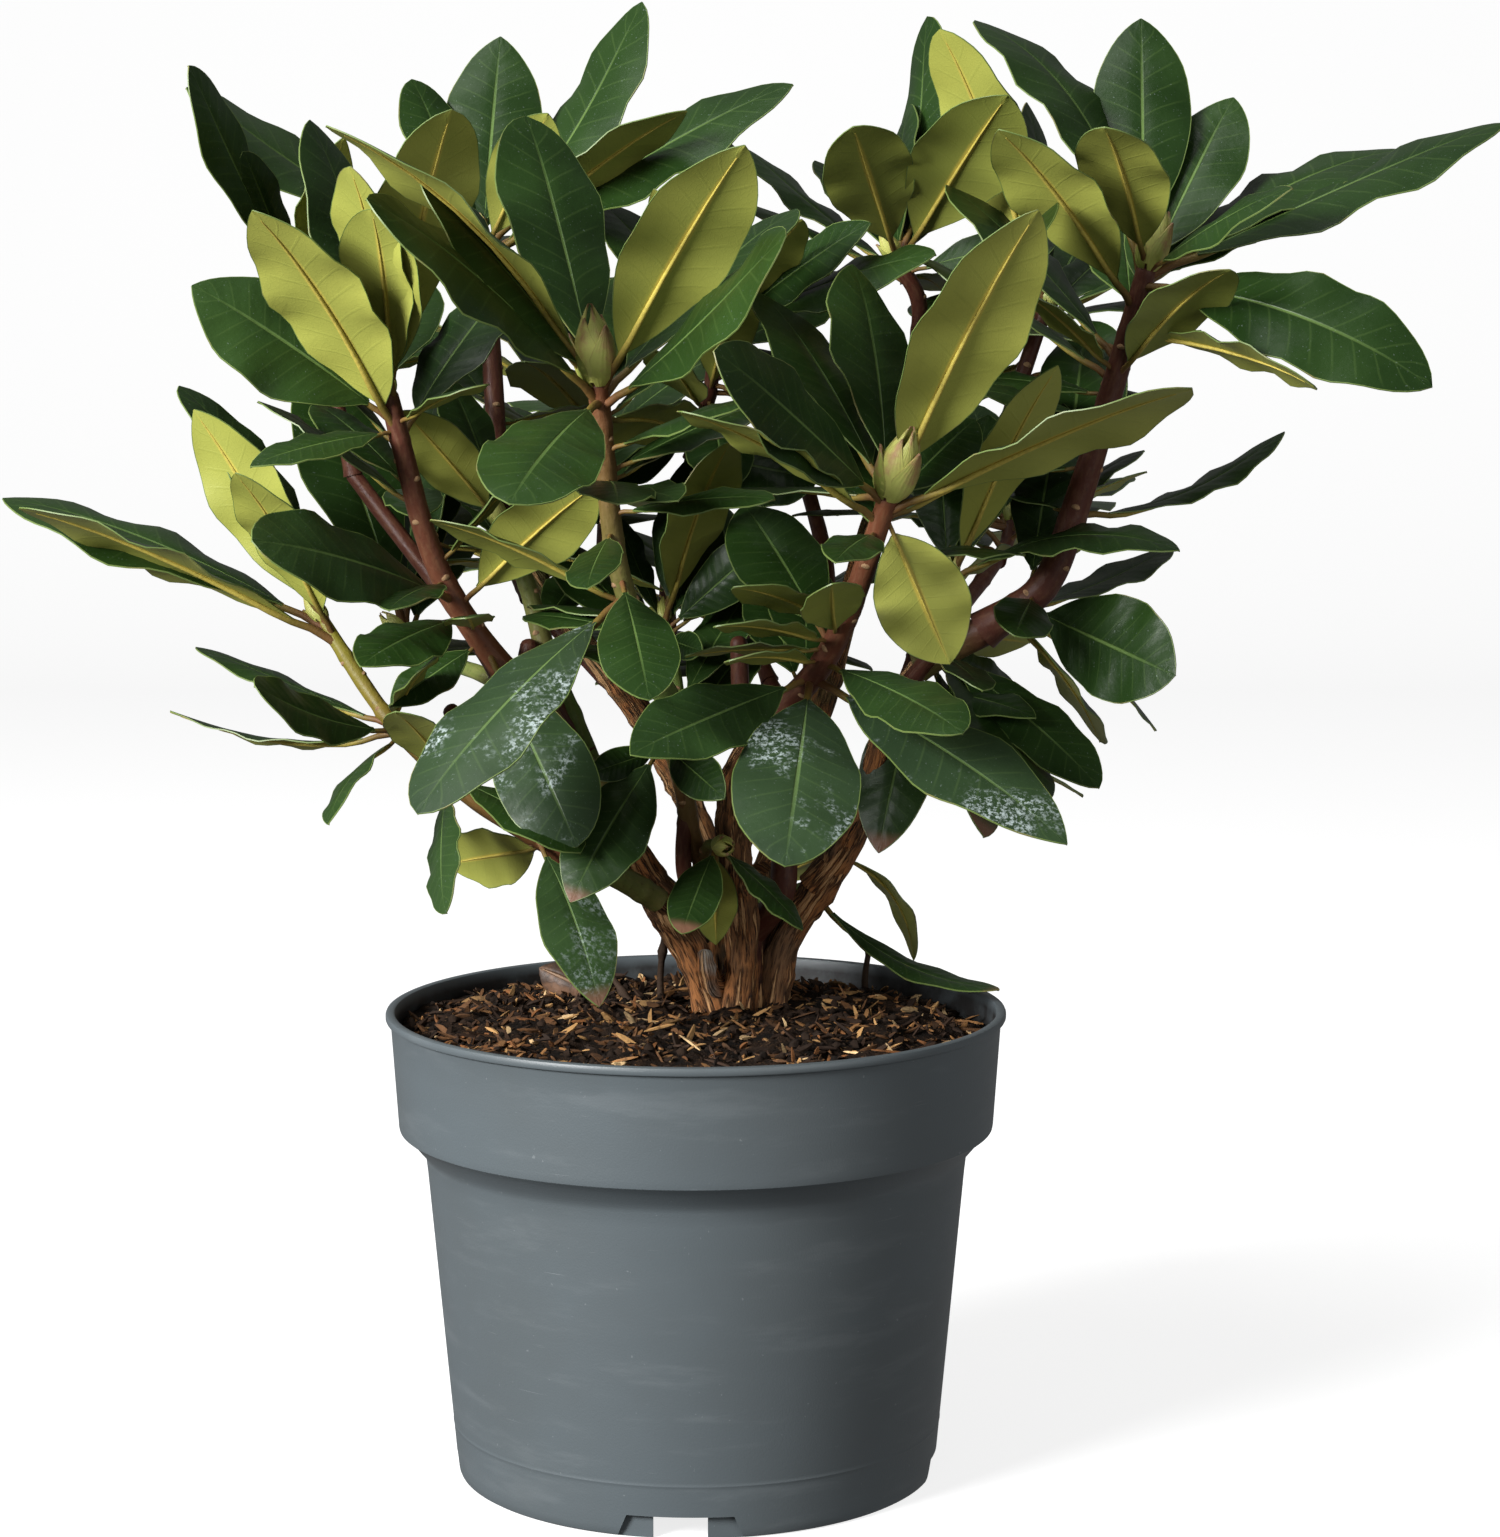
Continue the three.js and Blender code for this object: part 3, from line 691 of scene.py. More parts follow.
@dataclass(frozen=True)
class BudScale:
    """Bud scales: pale green at the foot, with dry pinkish brown tips and edges."""

    name: str = "bud_scale"
    green: Colour = (0.27, 0.31, 0.06)
    foot: Colour = (0.43, 0.43, 0.11)
    dry: Colour = (0.33, 0.125, 0.085)
    edge: Colour = (0.17, 0.08, 0.035)

    def make(self) -> Material:
        """Mixes by the traits, which are shade and how dry the scale is.

        Returns:
            The material.
        """
        g = Graph(self.name)
        along, off = g.leaf()
        _, shade, dry, _ = g.traits()
        cloud = g.noise(320.0, 4.0, 0.6)
        colour = g.mix(shade, self.green, self.foot)
        withered = (along * 0.6 - off * 0.35 + cloud * 1.1 + dry * 0.45).ramp(0.9, 1.45)
        colour = g.mix(withered * 0.7, colour, self.dry)
        rim = along.ramp(0.86, 1.0) * 0.8 + off.ramp(0.9, 1.0) * 0.35
        colour = g.mix(rim, colour, self.edge)
        ridge = (off * 30).sine() * 0.12 + cloud
        return g.finish(colour, 0.5, g.relief(ridge, 0.0004, 0.6))


@dataclass(frozen=True)
class DeadLeaf:
    """A dry brown leaf, darker in blotches."""

    name: str = "dead_leaf"
    brown: Colour = (0.115, 0.055, 0.026)
    dark: Colour = (0.035, 0.018, 0.01)
    rib: Colour = (0.22, 0.125, 0.062)

    def make(self) -> Material:
        """Mixes two browns in blotches, with a paler midrib.

        Returns:
            The material.
        """
        g = Graph(self.name)
        _, off = g.leaf()
        rib = off.ramp(0.12, 0.03)
        blotch = g.noise(120.0, 4.0, 0.6)
        colour = g.mix(blotch.ramp(0.42, 0.62), self.brown, self.dark)
        colour = g.mix(rib * 0.7, colour, self.rib)
        return g.finish(colour, 0.6, g.relief(blotch + rib, 0.001, 0.8))


@dataclass(frozen=True)
class Compost:
    """Peaty compost: nearly black, with brown fibres and a fine grain in its roughness and relief."""

    name: str = "compost"
    black: Colour = (0.0045, 0.0028, 0.0018)
    brown: Colour = (0.02, 0.0105, 0.0056)
    fibre: Colour = (0.15, 0.08, 0.036)

    def make(self) -> Material:
        """Mixes three sizes of noise.

        Returns:
            The material.
        """
        g = Graph(self.name)
        lump = g.noise(130.0, 5.0, 0.65)
        fibre = g.noise(260.0, 5.0, 0.7, vector=g.place((1.0, 3.2, 2.0)))
        grain = g.noise(900.0, 3.0, 0.7)
        colour = g.mix(lump.ramp(0.4, 0.66), self.black, self.brown)
        colour = g.mix(fibre.ramp(0.56, 0.7) * 0.8, colour, self.fibre)
        height = lump + fibre * 0.6 + grain * 0.4
        return g.finish(colour, grain * 0.2 + 0.8, g.relief(height, 0.003, 1.0), gloss=0.12)


@dataclass(frozen=True)
class PotPlastic:
    """Moulded blue grey plastic with a fine matt texture, faint swirls, scuffs and a few pale specks."""

    name: str = "pot_plastic"
    colour: Colour = (0.072, 0.087, 0.095)
    scuff: Colour = (0.22, 0.24, 0.25)
    dust: Colour = (0.06, 0.067, 0.068)
    # Near black painted shade for the inner wall.
    inner_shade: Colour = (0.01, 0.0085, 0.008)
    roughness: float = 0.45

    def make(self) -> Material:
        """Lays dust, swirls and scuffs over the plastic as noise that is stretched round the pot.

        The green trait is 1 on the outside and 0 on the inner wall and floor, which are darkened in mottled
        patches as painted shade.

        Returns:
            The material.
        """
        g = Graph(self.name)
        _, unshaded, _, _ = g.traits()
        cloud = g.noise(9.0, 4.0, 0.6)
        swirl = g.noise(16.0, 5.0, 0.65, vector=g.place((1.0, 1.0, 6.0)))
        speck = g.noise(420.0, 2.0).ramp(0.735, 0.76)
        scratch = g.noise(24.0, 3.0, 0.7, vector=g.place((1.0, 1.0, 34.0))).ramp(0.69, 0.74)
        colour = g.mix(cloud.ramp(0.35, 0.65) * 0.35, self.colour, self.dust)
        colour = g.mix(swirl.ramp(0.52, 0.72) * 0.1 + scratch * 0.16 + speck * 0.3, colour, self.scuff)
        # Painted shade: the inner wall is darkened, more in some patches than in others.
        shade_mottle = g.noise(70.0, 4.0, 0.6).ramp(0.25, 0.6) * 0.5 + 0.45
        colour = g.mix((1.0 - unshaded) * shade_mottle, colour, self.inner_shade)
        rough = swirl * 0.16 + scratch * 0.1 + self.roughness - 0.08
        height = g.noise(1500.0, 2.0) + scratch * 0.6
        return g.finish(colour, rough, g.relief(height, 0.00012, 0.5), gloss=0.42)


@dataclass(frozen=True)
class Plain:
    """A plain matt surface that may glow, for the studio."""

    name: str
    colour: Colour
    roughness: float = 0.9
    glow: float = 0.0

    def make(self) -> Material:
        """Sets the four inputs that matter.

        Returns:
            The material.
        """
        g = Graph(self.name)
        return g.finish(self.colour, self.roughness, gloss=0.1, glow=self.glow)


# ------------------------ how the plant grows


class Skin(Enum):
    """Plain colours that limbs run from and to."""

    MAROON = (0.066, 0.02, 0.012)
    RUSSET = (0.118, 0.04, 0.018)
    OLIVE = (0.125, 0.11, 0.032)
    GREEN = (0.09, 0.135, 0.03)
    LIME = (0.14, 0.128, 0.014)
    BARK = (0.18, 0.086, 0.036)
    GREY = (0.155, 0.105, 0.066)
    CUT = (0.46, 0.42, 0.36)


@dataclass(frozen=True)
class Limb:
    """A limb that leaves another at a share of its length and runs through places."""

    on: str
    at: float
    radius: tuple[float, float]
    through: tuple[Place, ...]


@dataclass(frozen=True)
class Shoot:
    """A leafy shoot: its stem, its leaves and a fan of more leaves.

    A leaf is (place along the stem, heading, rise, length, roll, arch, width). The last three may be left
    out for LeafShape's values. A fan is (how many, middle heading, spread).
    """

    stem: Limb
    leaves: tuple[Row, ...]
    fan: Place = (0, 0, 0)


@dataclass(frozen=True)
class LeafShape:
    """Sizes that all leaves share.

    Attributes:
        width: Share of the length.
        petiole: Share of the length that is stalk.
        arch: How far the middle line bows out, as a share of the length.
        droop: How far a blade would hang half a blade past droop_from, as a share of the length.
        droop_from: Share of the blade where it starts to hang.
    """

    width: float = 0.37
    petiole: float = 0.15
    petiole_radius: float = 1.3
    arch: float = 0.04
    droop: float = 0.035
    droop_from: float = 0.72

    def sag(self, length: Array, blade: Array) -> Array:
        """How far blades hang below their arch: droop * length * 4 * (blade - droop_from) squared."""
        return self.droop * length * np.clip(blade - self.droop_from, 0, 1) ** 2 * 4


LEAF = LeafShape()

# The boughs, each after the limb that it leaves.
BOUGHS: dict[str, Limb] = {
    "bough_left": Limb("trunk", 0.72, (8.6, 5.6), ((-17, 5, 220), (-35, -10, 257))),
    "bough_middle": Limb("trunk", 0.8, (7.8, 4.8), ((14, -10, 235), (16, -25, 266), (29, -38, 287))),
    "bough_right": Limb("trunk", 0.74, (7.6, 4.2), ((52, 15, 227), (65, 5, 259), (72, 0, 285), (82, 0, 301))),
    "bough_back": Limb("trunk", 0.9, (7, 3.6), ((36, 58, 243), (59, 80, 320), (80, 76, 394))),
    "bough_back_left": Limb("trunk", 0.86, (6, 3.8), ((-12, 62, 260), (-50, 52, 315), (-71, 36, 348))),
    "bough_centre": Limb("bough_middle", 0.16, (4, 3.2), ((0, -9, 236), (-5, -26, 270), (-10, -40, 295))),
    "bough_left_upper": Limb("bough_left", 1, (5, 4.6), ((-54, -19, 285), (-69, -25, 302))),
    "bough_left_low": Limb("bough_left", 0.3, (5, 4.4), ((-33, -14, 228), (-47, -28, 236))),
    "bough_left_inner": Limb("bough_left", 0.94, (4.2, 4), ((-44, -2, 279), (-54, 5, 301))),
    "bough_left_rear": Limb("bough_left_upper", 0.72, (3.2, 2.8), ((-76, -12, 299), (-88, 8, 301))),
    "bough_left_crest": Limb(
        "bough_left_upper", 0.9, (3.4, 3), ((-88, -4, 324), (-110, 10, 350), (-127, 19, 371))),
    "bough_right_upper": Limb("bough_right", 1, (4.4, 6), ((93, -3, 308), (105, -5, 315))),
    "bough_right_back": Limb("bough_right", 0.66, (4, 3.2), ((95, 38, 334), (116, 50, 385))),
    "bough_crest": Limb("bough_back_left", 0.36, (3.6, 3), ((-12, 72, 324), (-2, 52, 376))),
    "bough_rear_left": Limb("bough_back_left", 0.5, (3.6, 3), ((-36, 92, 320), (-38, 122, 354))),
    "bough_rear_centre": Limb("bough_back", 0.5, (3.8, 3), ((50, 112, 332), (42, 148, 366))),
    "bough_rear_low": Limb("bough_back", 0.3, (3.8, 3), ((40, 98, 264), (28, 128, 284))),
    "bough_rear_foot": Limb("bough_back_left", 0.56, (3.2, 2.8), ((-58, 76, 312), (-67, 92, 320))),
    "bough_rear_right": Limb("bough_right_back", 0.35, (3.4, 3), ((104, 78, 320), (118, 108, 334))),
}

SHOOTS: dict[str, Shoot] = {
    "foliage_front_centre": Shoot(
        Limb("bough_centre", 1, (3.8, 3.6), ((-19, -55, 319), (-27, -65, 348), (-32, -80, 405))), (
        (0.97, -54, 44, 118, 20, 0.03, 38), (0.95, 40, 38, 112), (0.93, -50, 31, 112, -54, -0.02),
        (0.96, 116, 58, 118, -6, 0.02, 40), (0.98, -143, 45, 98, 52, 0.03, 34),
        (0.97, -142, 40, 138, 12, 0.08), (0.94, -134, 34, 122, 44), (0.95, -104, -16, 105, 14, 0.05),
        (0.9, 80, 42, 95, 50), (0.9, 70, -4, 85, 28), (0.42, -80, -28, 75, -6),
        (0.36, -134, -34, 118, 12, 0.05, 38)), (2, 70, 40)),
    "foliage_left": Shoot(
        Limb("bough_left_upper", 1, (4.6, 3.4), ((-86, -30, 328), (-96, -35, 353), (-107, -45, 401))), (
        (0.84, -126, 48, 108, -6, 0.05, 42), (0.93, 142, 70, 112, -10), (0.95, -98, 58, 98, 36),
        (1, -61, 61, 111, -6, 0.03, 38), (0.9, -166, 35, 86, 58, 0.04, 43), (0.85, 54, 42, 90),
        (0.97, -90, 52, 85, 24), (0.28, -126, 15, 106, 50), (0.22, -114, -8, 75, 18),
        (0.26, -42, 34, 82, 36), (0.35, -104, -4, 60), (0.1, -54, -48, 88, -34, 0.04, 36),
        (0.12, -150, -30, 42, 30, 0.03, 20)), (4, 80, 60)),
    "foliage_front_right": Shoot(
        Limb("bough_middle", 1, (4.8, 3.6), ((45, -55, 307), (55, -70, 329), (67, -90, 367))), (
        (0.97, -50, 54, 122, 16, 0.03, 40), (0.95, 26, 58, 125, 12), (0.93, -30, 22, 122, 12, 0.02),
        (0.98, 98, 52, 105, -34), (0.99, 122, 42, 108, -16), (0.97, -132, 32, 100, 70, 0.02),
        (0.9, -136, 24, 100, 6), (0.86, -106, -6, 55, 10), (0.95, 40, -60, 62, 56, 0, 33),
        (0.96, 50, 30, 60, -35), (0.22, -96, -30, 105, 10, 0.05, 44), (0.22, -134, -12, 90, 32, 0.02),
        (0.38, 114, 32, 90, 18), (0.4, -134, 10, 60, -12), (0.3, -54, -12, 80, -18),
        (0.22, -38, -24, 119, -24, 0.05, 38)), (4, 90, 60)),
    "foliage_right": Shoot(
        Limb("bough_right_upper", 1, (6, 3.6),
             ((127, -10, 332), (138, -12, 360), (149, -18, 399), (161, -25, 445))), (
        (0.98, 86, 60, 112, 0, 0.02, 36), (0.96, 136, 52, 126, -2, 0.13, 42),
        (1, -108, 34, 85, 4, 0.05, 32), (0.9, -132, 38, 100, -6), (0.97, 50, 50, 90, -20, 0.02),
        (0.98, -2, 24, 138, -16, 0.01), (0.96, 20, 26, 118, -10, 0.07, 46), (0.99, -48, 24, 72, -36),
        (0.95, 40, 26, 75, -18), (0.96, -32, -17, 115, -44, 0.11, 42), (0.72, -62, 30, 80, 8, 0.06, 30),
        (0.85, -46, -12, 85, 24), (0.38, 28, 18, 98, 0, -0.08, 24), (0.38, 124, 8, 60),
        (0.35, 80, 46, 105, 20), (0.15, -100, -8, 60, 22), (0.1, 40, 14, 85, -4, -0.03, 24),
        (0.12, -50, -15, 78, -74, 0, 38), (0.1, 30, -36, 80, -24), (0.08, 50, -40, 80, -30),
        (0.14, 60, 70, 76, 14, 0.02, 32)), (6, 95, 75)),
    "foliage_top": Shoot(
        Limb("bough_back", 1, (3.4, 3), ((85, 70, 432), (76, 65, 451))), (
        (0.97, -62, 38, 97, 22, 0.02, 40), (0.99, -106, 34, 85, -24, 0.03, 34),
        (0.95, 78, 62, 112, 50, -0.02, 33), (0.9, 152, 36, 85, 0, -0.02), (0.93, 132, 42, 65, -4),
        (0.95, 84, 58, 75, 64), (0.9, -16, 12, 60, -50, 0.04, 26)), (5, 95, 85)),
    "foliage_back_left": Shoot(
        Limb("bough_back_left", 1, (3.9, 3.6), ((-75, 40, 380), (-78, 50, 421), (-82, 60, 456))), (
        (0.98, 82, 66, 92, -8, 0.02, 38), (0.96, -54, 48, 70, 38), (0.97, 26, 56, 118, -16, -0.05, 39),
        (0.95, 18, 32, 98, -16), (0.93, -24, 34, 102, 10), (0.94, -4, 30, 135, -32, 0.03, 46),
        (0.9, -164, 32, 130, 28, -0.03), (0.97, 146, 64, 75, 18, 0.03), (0.85, 56, -14, 70, -66)),
        (5, 80, 60)),
    "foliage_far_left": Shoot(
        Limb("bough_left_low", 1, (3.6, 2.6),
             ((-77, -35, 255), (-102, -30, 276), (-116, -20, 291), (-135, -10, 318))), (
        (0.97, 172, 22, 132, 10, 0.045), (0.93, -162, 25, 124, -10, 0.03),
        (0.98, 158, 56, 107, 8, 0.08, 31), (0.96, -172, 60, 95, -54, 0.02, 33), (0.95, -124, 51, 80, -2),
        (0.62, 156, 18, 88, 0, 0, 20), (0.6, -129, 18, 73, 44, -0.06), (0.6, 164, 4, 90, -14, -0.08, 20),
        (0.58, -114, -24, 60, -34, 0.08, 20), (0.64, -66, 30, 55, -36), (0.4, -88, -44, 60, -58),
        (0.1, -61, -46, 74, -4, 0.08), (0.05, 144, -12, 50, -60, 0, 26)), (2, 110, 30)),
    "foliage_left_crest": Shoot(
        Limb("bough_left_crest", 1, (3, 2.6), ((-135, 20, 406), (-145, 15, 439))), (
        (1, -122, 53, 97, 80, -0.02, 27), (0.98, -126, 60, 58, 90, 0, 22), (0.97, -50, 64, 63, -6)),
        (4, 70, 45)),
    "foliage_left_rear": Shoot(
        Limb("bough_left_rear", 1, (2.8, 2.6), ((-100, 20, 304), (-109, 25, 311))), (
        (1, 134, 60, 115, 12, 0.04, 40), (1, 106, 44, 85, -14), (1, 86, 50, 95, 14),
        (1, 82, 56, 115, 42)), (3, 80, 30)),
    "foliage_inner_left": Shoot(
        Limb("bough_left_inner", 1, (4, 2.8), ((-63, 8, 333), (-71, 5, 353))), (
        (1, -138, 44, 62, -48), (1, 136, 36, 36, 42), (0.97, 130, 58, 66, -6)), (4, 20, 60)),
    "foliage_right_crest": Shoot(
        Limb("bough_right_back", 1, (3.2, 2.8), ((124, 52, 410), (132, 55, 433))), (
        (1, -143, 63, 114, -4, 0.03, 40), (0.97, 100, 72, 84, -50), (0.95, 108, 44, 60, -12),
        (0.93, 118, 10, 60, -60), (0.9, 128, 6, 75, 24), (0.9, 42, 34, 60, -16)), (5, 80, 70)),
    "foliage_inner_right": Shoot(
        Limb("bough_right", 0.9, (3.4, 2.8), ((90, -12, 314), (92, -15, 333))), (
        (1, -28, 10, 90, -14, 0.12), (1, 56, 12, 45, 42), (1, 92, 50, 60, 6),
        (0.98, -46, 58, 95, 4, 0.03, 32), (0.95, 70, 52, 80, 0, 0.02, 30)), (3, 120, 60)),
    "foliage_low_right": Shoot(
        Limb("bough_right", 0.72, (3.2, 2.6), ((82, 14, 300), (87, 18, 308))), (
        (1, -45, -29, 94, -22, 0.04, 27), (1, 48, -2, 60, 38), (0.6, -42, -6, 60, -16),
        (0.95, -74, -42, 91, 36), (0.95, -58, -32, 90, 18), (0.97, 40, -24, 55, -50),
        (0.9, -121, -64, 78, 15, 0.03, 28)), (4, 80, 70)),
    "foliage_crest": Shoot(
        Limb("bough_crest", 1, (3, 2.6), ((5, 42, 402), (7, 35, 422))), (
        (1, -32, 32, 78, -54, 0.03, 26), (1, -32, 18, 98, -30), (1, 90, 62, 85, 34),
        (0.97, -122, 54, 68, 6), (0.95, -54, 40, 70, 4), (0.1, -165, -8, 50, 50, 0.03, 29),
        (0.05, -24, -10, 52, -56, 0, 30), (0.5, -80, -40, 52, 0, 0.06, 26)), (5, 110, 80)),
    "foliage_heart": Shoot(
        Limb("bough_centre", 0.62, (2.8, 2.4), ((-7, -4, 294), (-12, 13, 316))), (
        (1, 60, 66, 72), (0.98, -60, 56, 85, -12), (0.95, -24, 40, 55, -90), (0.93, 66, 46, 60),
        (0.9, 2, 40, 60, 46), (0.9, -64, -4, 30, -70), (0.96, 160, 66, 46, 10, 0, 20)), (3, 120, 60)),
    "foliage_low_front": Shoot(
        Limb("bough_centre", 0.46, (2.4, 2), ((-8, -30, 270), (-11, -38, 277))), (
        (1, -132, -47, 70, 24, 0.05, 30), (0.97, -60, -18, 45, -50), (0.95, -148, -14, 32, 75)),
        (0, 0, 0)),
    "foliage_low_centre": Shoot(
        Limb("bough_centre", 0.3, (2.2, 1.8), ((5, -20, 238), (8, -27, 239))), (
        (1, -106, -30, 50, 10), (1, 92, -60, 46, 12), (0.9, -20, -40, 45, -10)), (0, 0, 0)),
    "foliage_foot_right": Shoot(
        Limb("bough_back", 0.08, (2.6, 2.2), ((45, 62, 212), (53, 70, 222))), (
        (1, 18, -52, 55, 8, 0.17, 18), (0.6, -38, -18, 95, -10, -0.11, 15), (1, 115, -18, 55, -26)),
        (0, 0, 0)),
    "foliage_rear_left": Shoot(
        Limb("bough_rear_left", 1, (3, 2.6), ((-40, 136, 372), (-41, 142, 386))), (), (9, 90, 180)),
    "foliage_rear_centre": Shoot(
        Limb("bough_rear_centre", 1, (3, 2.6), ((38, 164, 384), (37, 172, 396))), (), (9, 90, 180)),
    "foliage_rear_low": Shoot(
        Limb("bough_rear_low", 1, (3, 2.6), ((22, 138, 298), (19, 143, 308))), (), (9, 90, 180)),
    "foliage_rear_foot": Shoot(
        Limb("bough_rear_foot", 1, (2.8, 2.4), ((-72, 101, 328), (-75, 105, 336))), (), (8, 110, 150)),
    "foliage_rear_right": Shoot(
        Limb("bough_rear_right", 1, (3, 2.6), ((123, 124, 340), (125, 132, 347))), (), (9, 120, 130)),
}

# What is left of shoots that were cut back.
STUBS: dict[str, Limb] = {
    "stub_green": Limb("trunk", 0.95, (5.2, 5.0), ((31, 10, 214), (33, 9, 231))),
    "stub_inner": Limb("bough_left_inner", 0.35, (3.4, 3.6), ((-60, 0, 301), (-61, 1, 309))),
    "stub_centre": Limb("bough_middle", 0.86, (3.4, 3.2), ((17, -20, 290), (16, -19, 312))),
    "stub_left": Limb("bough_left_low", 1.0, (3.0, 3.0), ((-70, -31, 266), (-88, -27, 288))),
    "stub_scar": Limb("trunk", 0.45, (3.8, 2.4), ((7, 8, 180), (4, 3, 187), (3, 2, 194))),
    "stub_thin": Limb("bough_middle", 0.08, (3.4, 2.8), ((-3, -8, 222), (-3, -18, 258))),
}

# The root crown's line, its radii at foot, waist and top, and what sets where the fans' steps start.
ROOT_CROWN = ((17.0, 21.0, 169.4), (19.0, 21.0, 199.0))
CROWN_RADII = (19.5, 16.0, 17.5)
FAN_SEED = 20

# The root crown's stems: where each stands, where it bends, and the share of its bough that it grows into.
CROWN_STEMS: dict[str, tuple[Place, Place, float]] = {
    "bough_left": ((8, 13, 165), (-2, 12, 193), 0.52),
    "bough_middle": ((15, 10, 165), (17, 9, 199), 0.4),
    "bough_right": ((27, 19, 165), (33, 19, 195), 0.37),
    "bough_back": ((26, 33, 165), (31, 37, 203), 0.22),
    "bough_back_left": ((9, 32, 165), (6, 37, 204), 0.3),
}

# The share of its line at which a limb's skin starts, for limbs whose foot lies inside the root crown.
BARE: dict[str, float] = {
    "bough_left": 0.42, "bough_middle": 0.3, "bough_right": 0.27, "bough_back": 0.14,
    "bough_back_left": 0.2, "bough_left_low": 0.26,
}

# The colours of limbs at foot and tip. All others are maroon.
SKINS: dict[str, tuple[Skin, Skin]] = {
    "bough_left": (Skin.BARK, Skin.BARK), "bough_middle": (Skin.BARK, Skin.BARK),
    "bough_right": (Skin.BARK, Skin.GREY), "bough_back": (Skin.BARK, Skin.OLIVE),
    "bough_back_left": (Skin.GREY, Skin.OLIVE), "bough_centre": (Skin.RUSSET, Skin.OLIVE),
    "bough_left_upper": (Skin.OLIVE, Skin.RUSSET), "bough_left_low": (Skin.OLIVE, Skin.GREEN),
    "bough_left_inner": (Skin.GREEN, Skin.GREEN), "bough_left_rear": (Skin.OLIVE, Skin.GREEN),
    "bough_right_upper": (Skin.OLIVE, Skin.MAROON), "stub_scar": (Skin.CUT, Skin.CUT),
    "foliage_left": (Skin.RUSSET, Skin.MAROON), "foliage_front_centre": (Skin.GREEN, Skin.RUSSET),
    "foliage_front_right": (Skin.MAROON, Skin.RUSSET), "foliage_far_left": (Skin.RUSSET, Skin.LIME),
    "foliage_inner_left": (Skin.OLIVE, Skin.GREEN), "foliage_heart": (Skin.GREEN, Skin.GREEN),
    "foliage_low_front": (Skin.RUSSET, Skin.OLIVE), "foliage_low_centre": (Skin.BARK, Skin.GREEN),
    "foliage_foot_right": (Skin.GREEN, Skin.GREEN),
}
OLD_WOOD = tuple(CROWN_STEMS)

# Length, radius and number of scales of the plump buds. The other shoots have small ones.
PLUMP: dict[str, tuple[float, float, int]] = {
    "foliage_front_centre": (29.0, 6.6, 10),
    "foliage_front_right": (29.0, 6.6, 10),
    "foliage_right": (25.0, 5.2, 8),
}

# The camera from the foot of the pot's axis, and round gaps in the crown that stay open as seen from it:
# x, z and radius on the plane y = 0.
EYE = np.array([20.0, -1306.0, 419.0])
SKY: tuple[Place, ...] = (
    (-198.9, 309.5, 11.0), (83.6, 427.9, 10.3), (80.1, 411.7, 7.3), (180.6, 384.5, 15.4),
    (202.7, 373.6, 11.0), (190.3, 348.0, 12.5), (172.9, 411.7, 10.3), (-121.4, 316.8, 10.3),
    (-126.8, 326.0, 7.3), (-114.9, 242.7, 16.5), (-29.7, 283.6, 10.3), (-71.7, 330.4, 6.6),
    (135.8, 481.8, 9.5), (115.6, 305.8, 5.9), (71.5, 305.8, 5.9), (84.0, 322.0, 12.0),
)

# Shade, lime residue and browning of the leaves that are unlike the rest, by shoot and number. On several
# leaves the shade is painted light: it lightens leaves that face away from the lamps and darkens some that
# face them.
WORN_AND_PAINTED_LIGHT: dict[str, dict[int, Place]] = {
    "foliage_front_centre": {10: (0.35, 0.15, 0), 11: (0, 0.85, 0)},
    "foliage_left": {4: (0.9, 0.1, 0), 7: (0.25, 0.25, 0), 11: (0.15, 0.8, 0)},
    "foliage_front_right": {
        0: (0, 0, 0), 2: (0.1, 0, 0), 10: (0.2, 0.95, 0), 11: (0.5, 0.3, 0), 14: (0.35, 0.2, 0),
        15: (0.15, 0.8, 0)},
    "foliage_right": {0: (0, 0, 0), 2: (0.4, 0, 0), 3: (0.45, 0, 0), 9: (0.1, 0, 0), 10: (1, 0, 0)},
    "foliage_top": {0: (1, 0, 0), 1: (1, 0, 0)},
    "foliage_far_left": {10: (0.6, 0.25, 0), 11: (0.95, 0.6, 0.16)},
    "foliage_inner_right": {0: (0.3, 0.2, 0)},
    "foliage_low_right": {0: (0.3, 0.1, 0), 3: (0.3, 0.1, 0.14), 6: (0.3, 0.1, 0.16)},
    "foliage_low_front": {0: (0.55, 0.3, 0.1)},
    "foliage_low_centre": {0: (0.3, 0.1, 0.22)},
    "foliage_foot_right": {1: (0.5, 0.2, 0.06)},
}


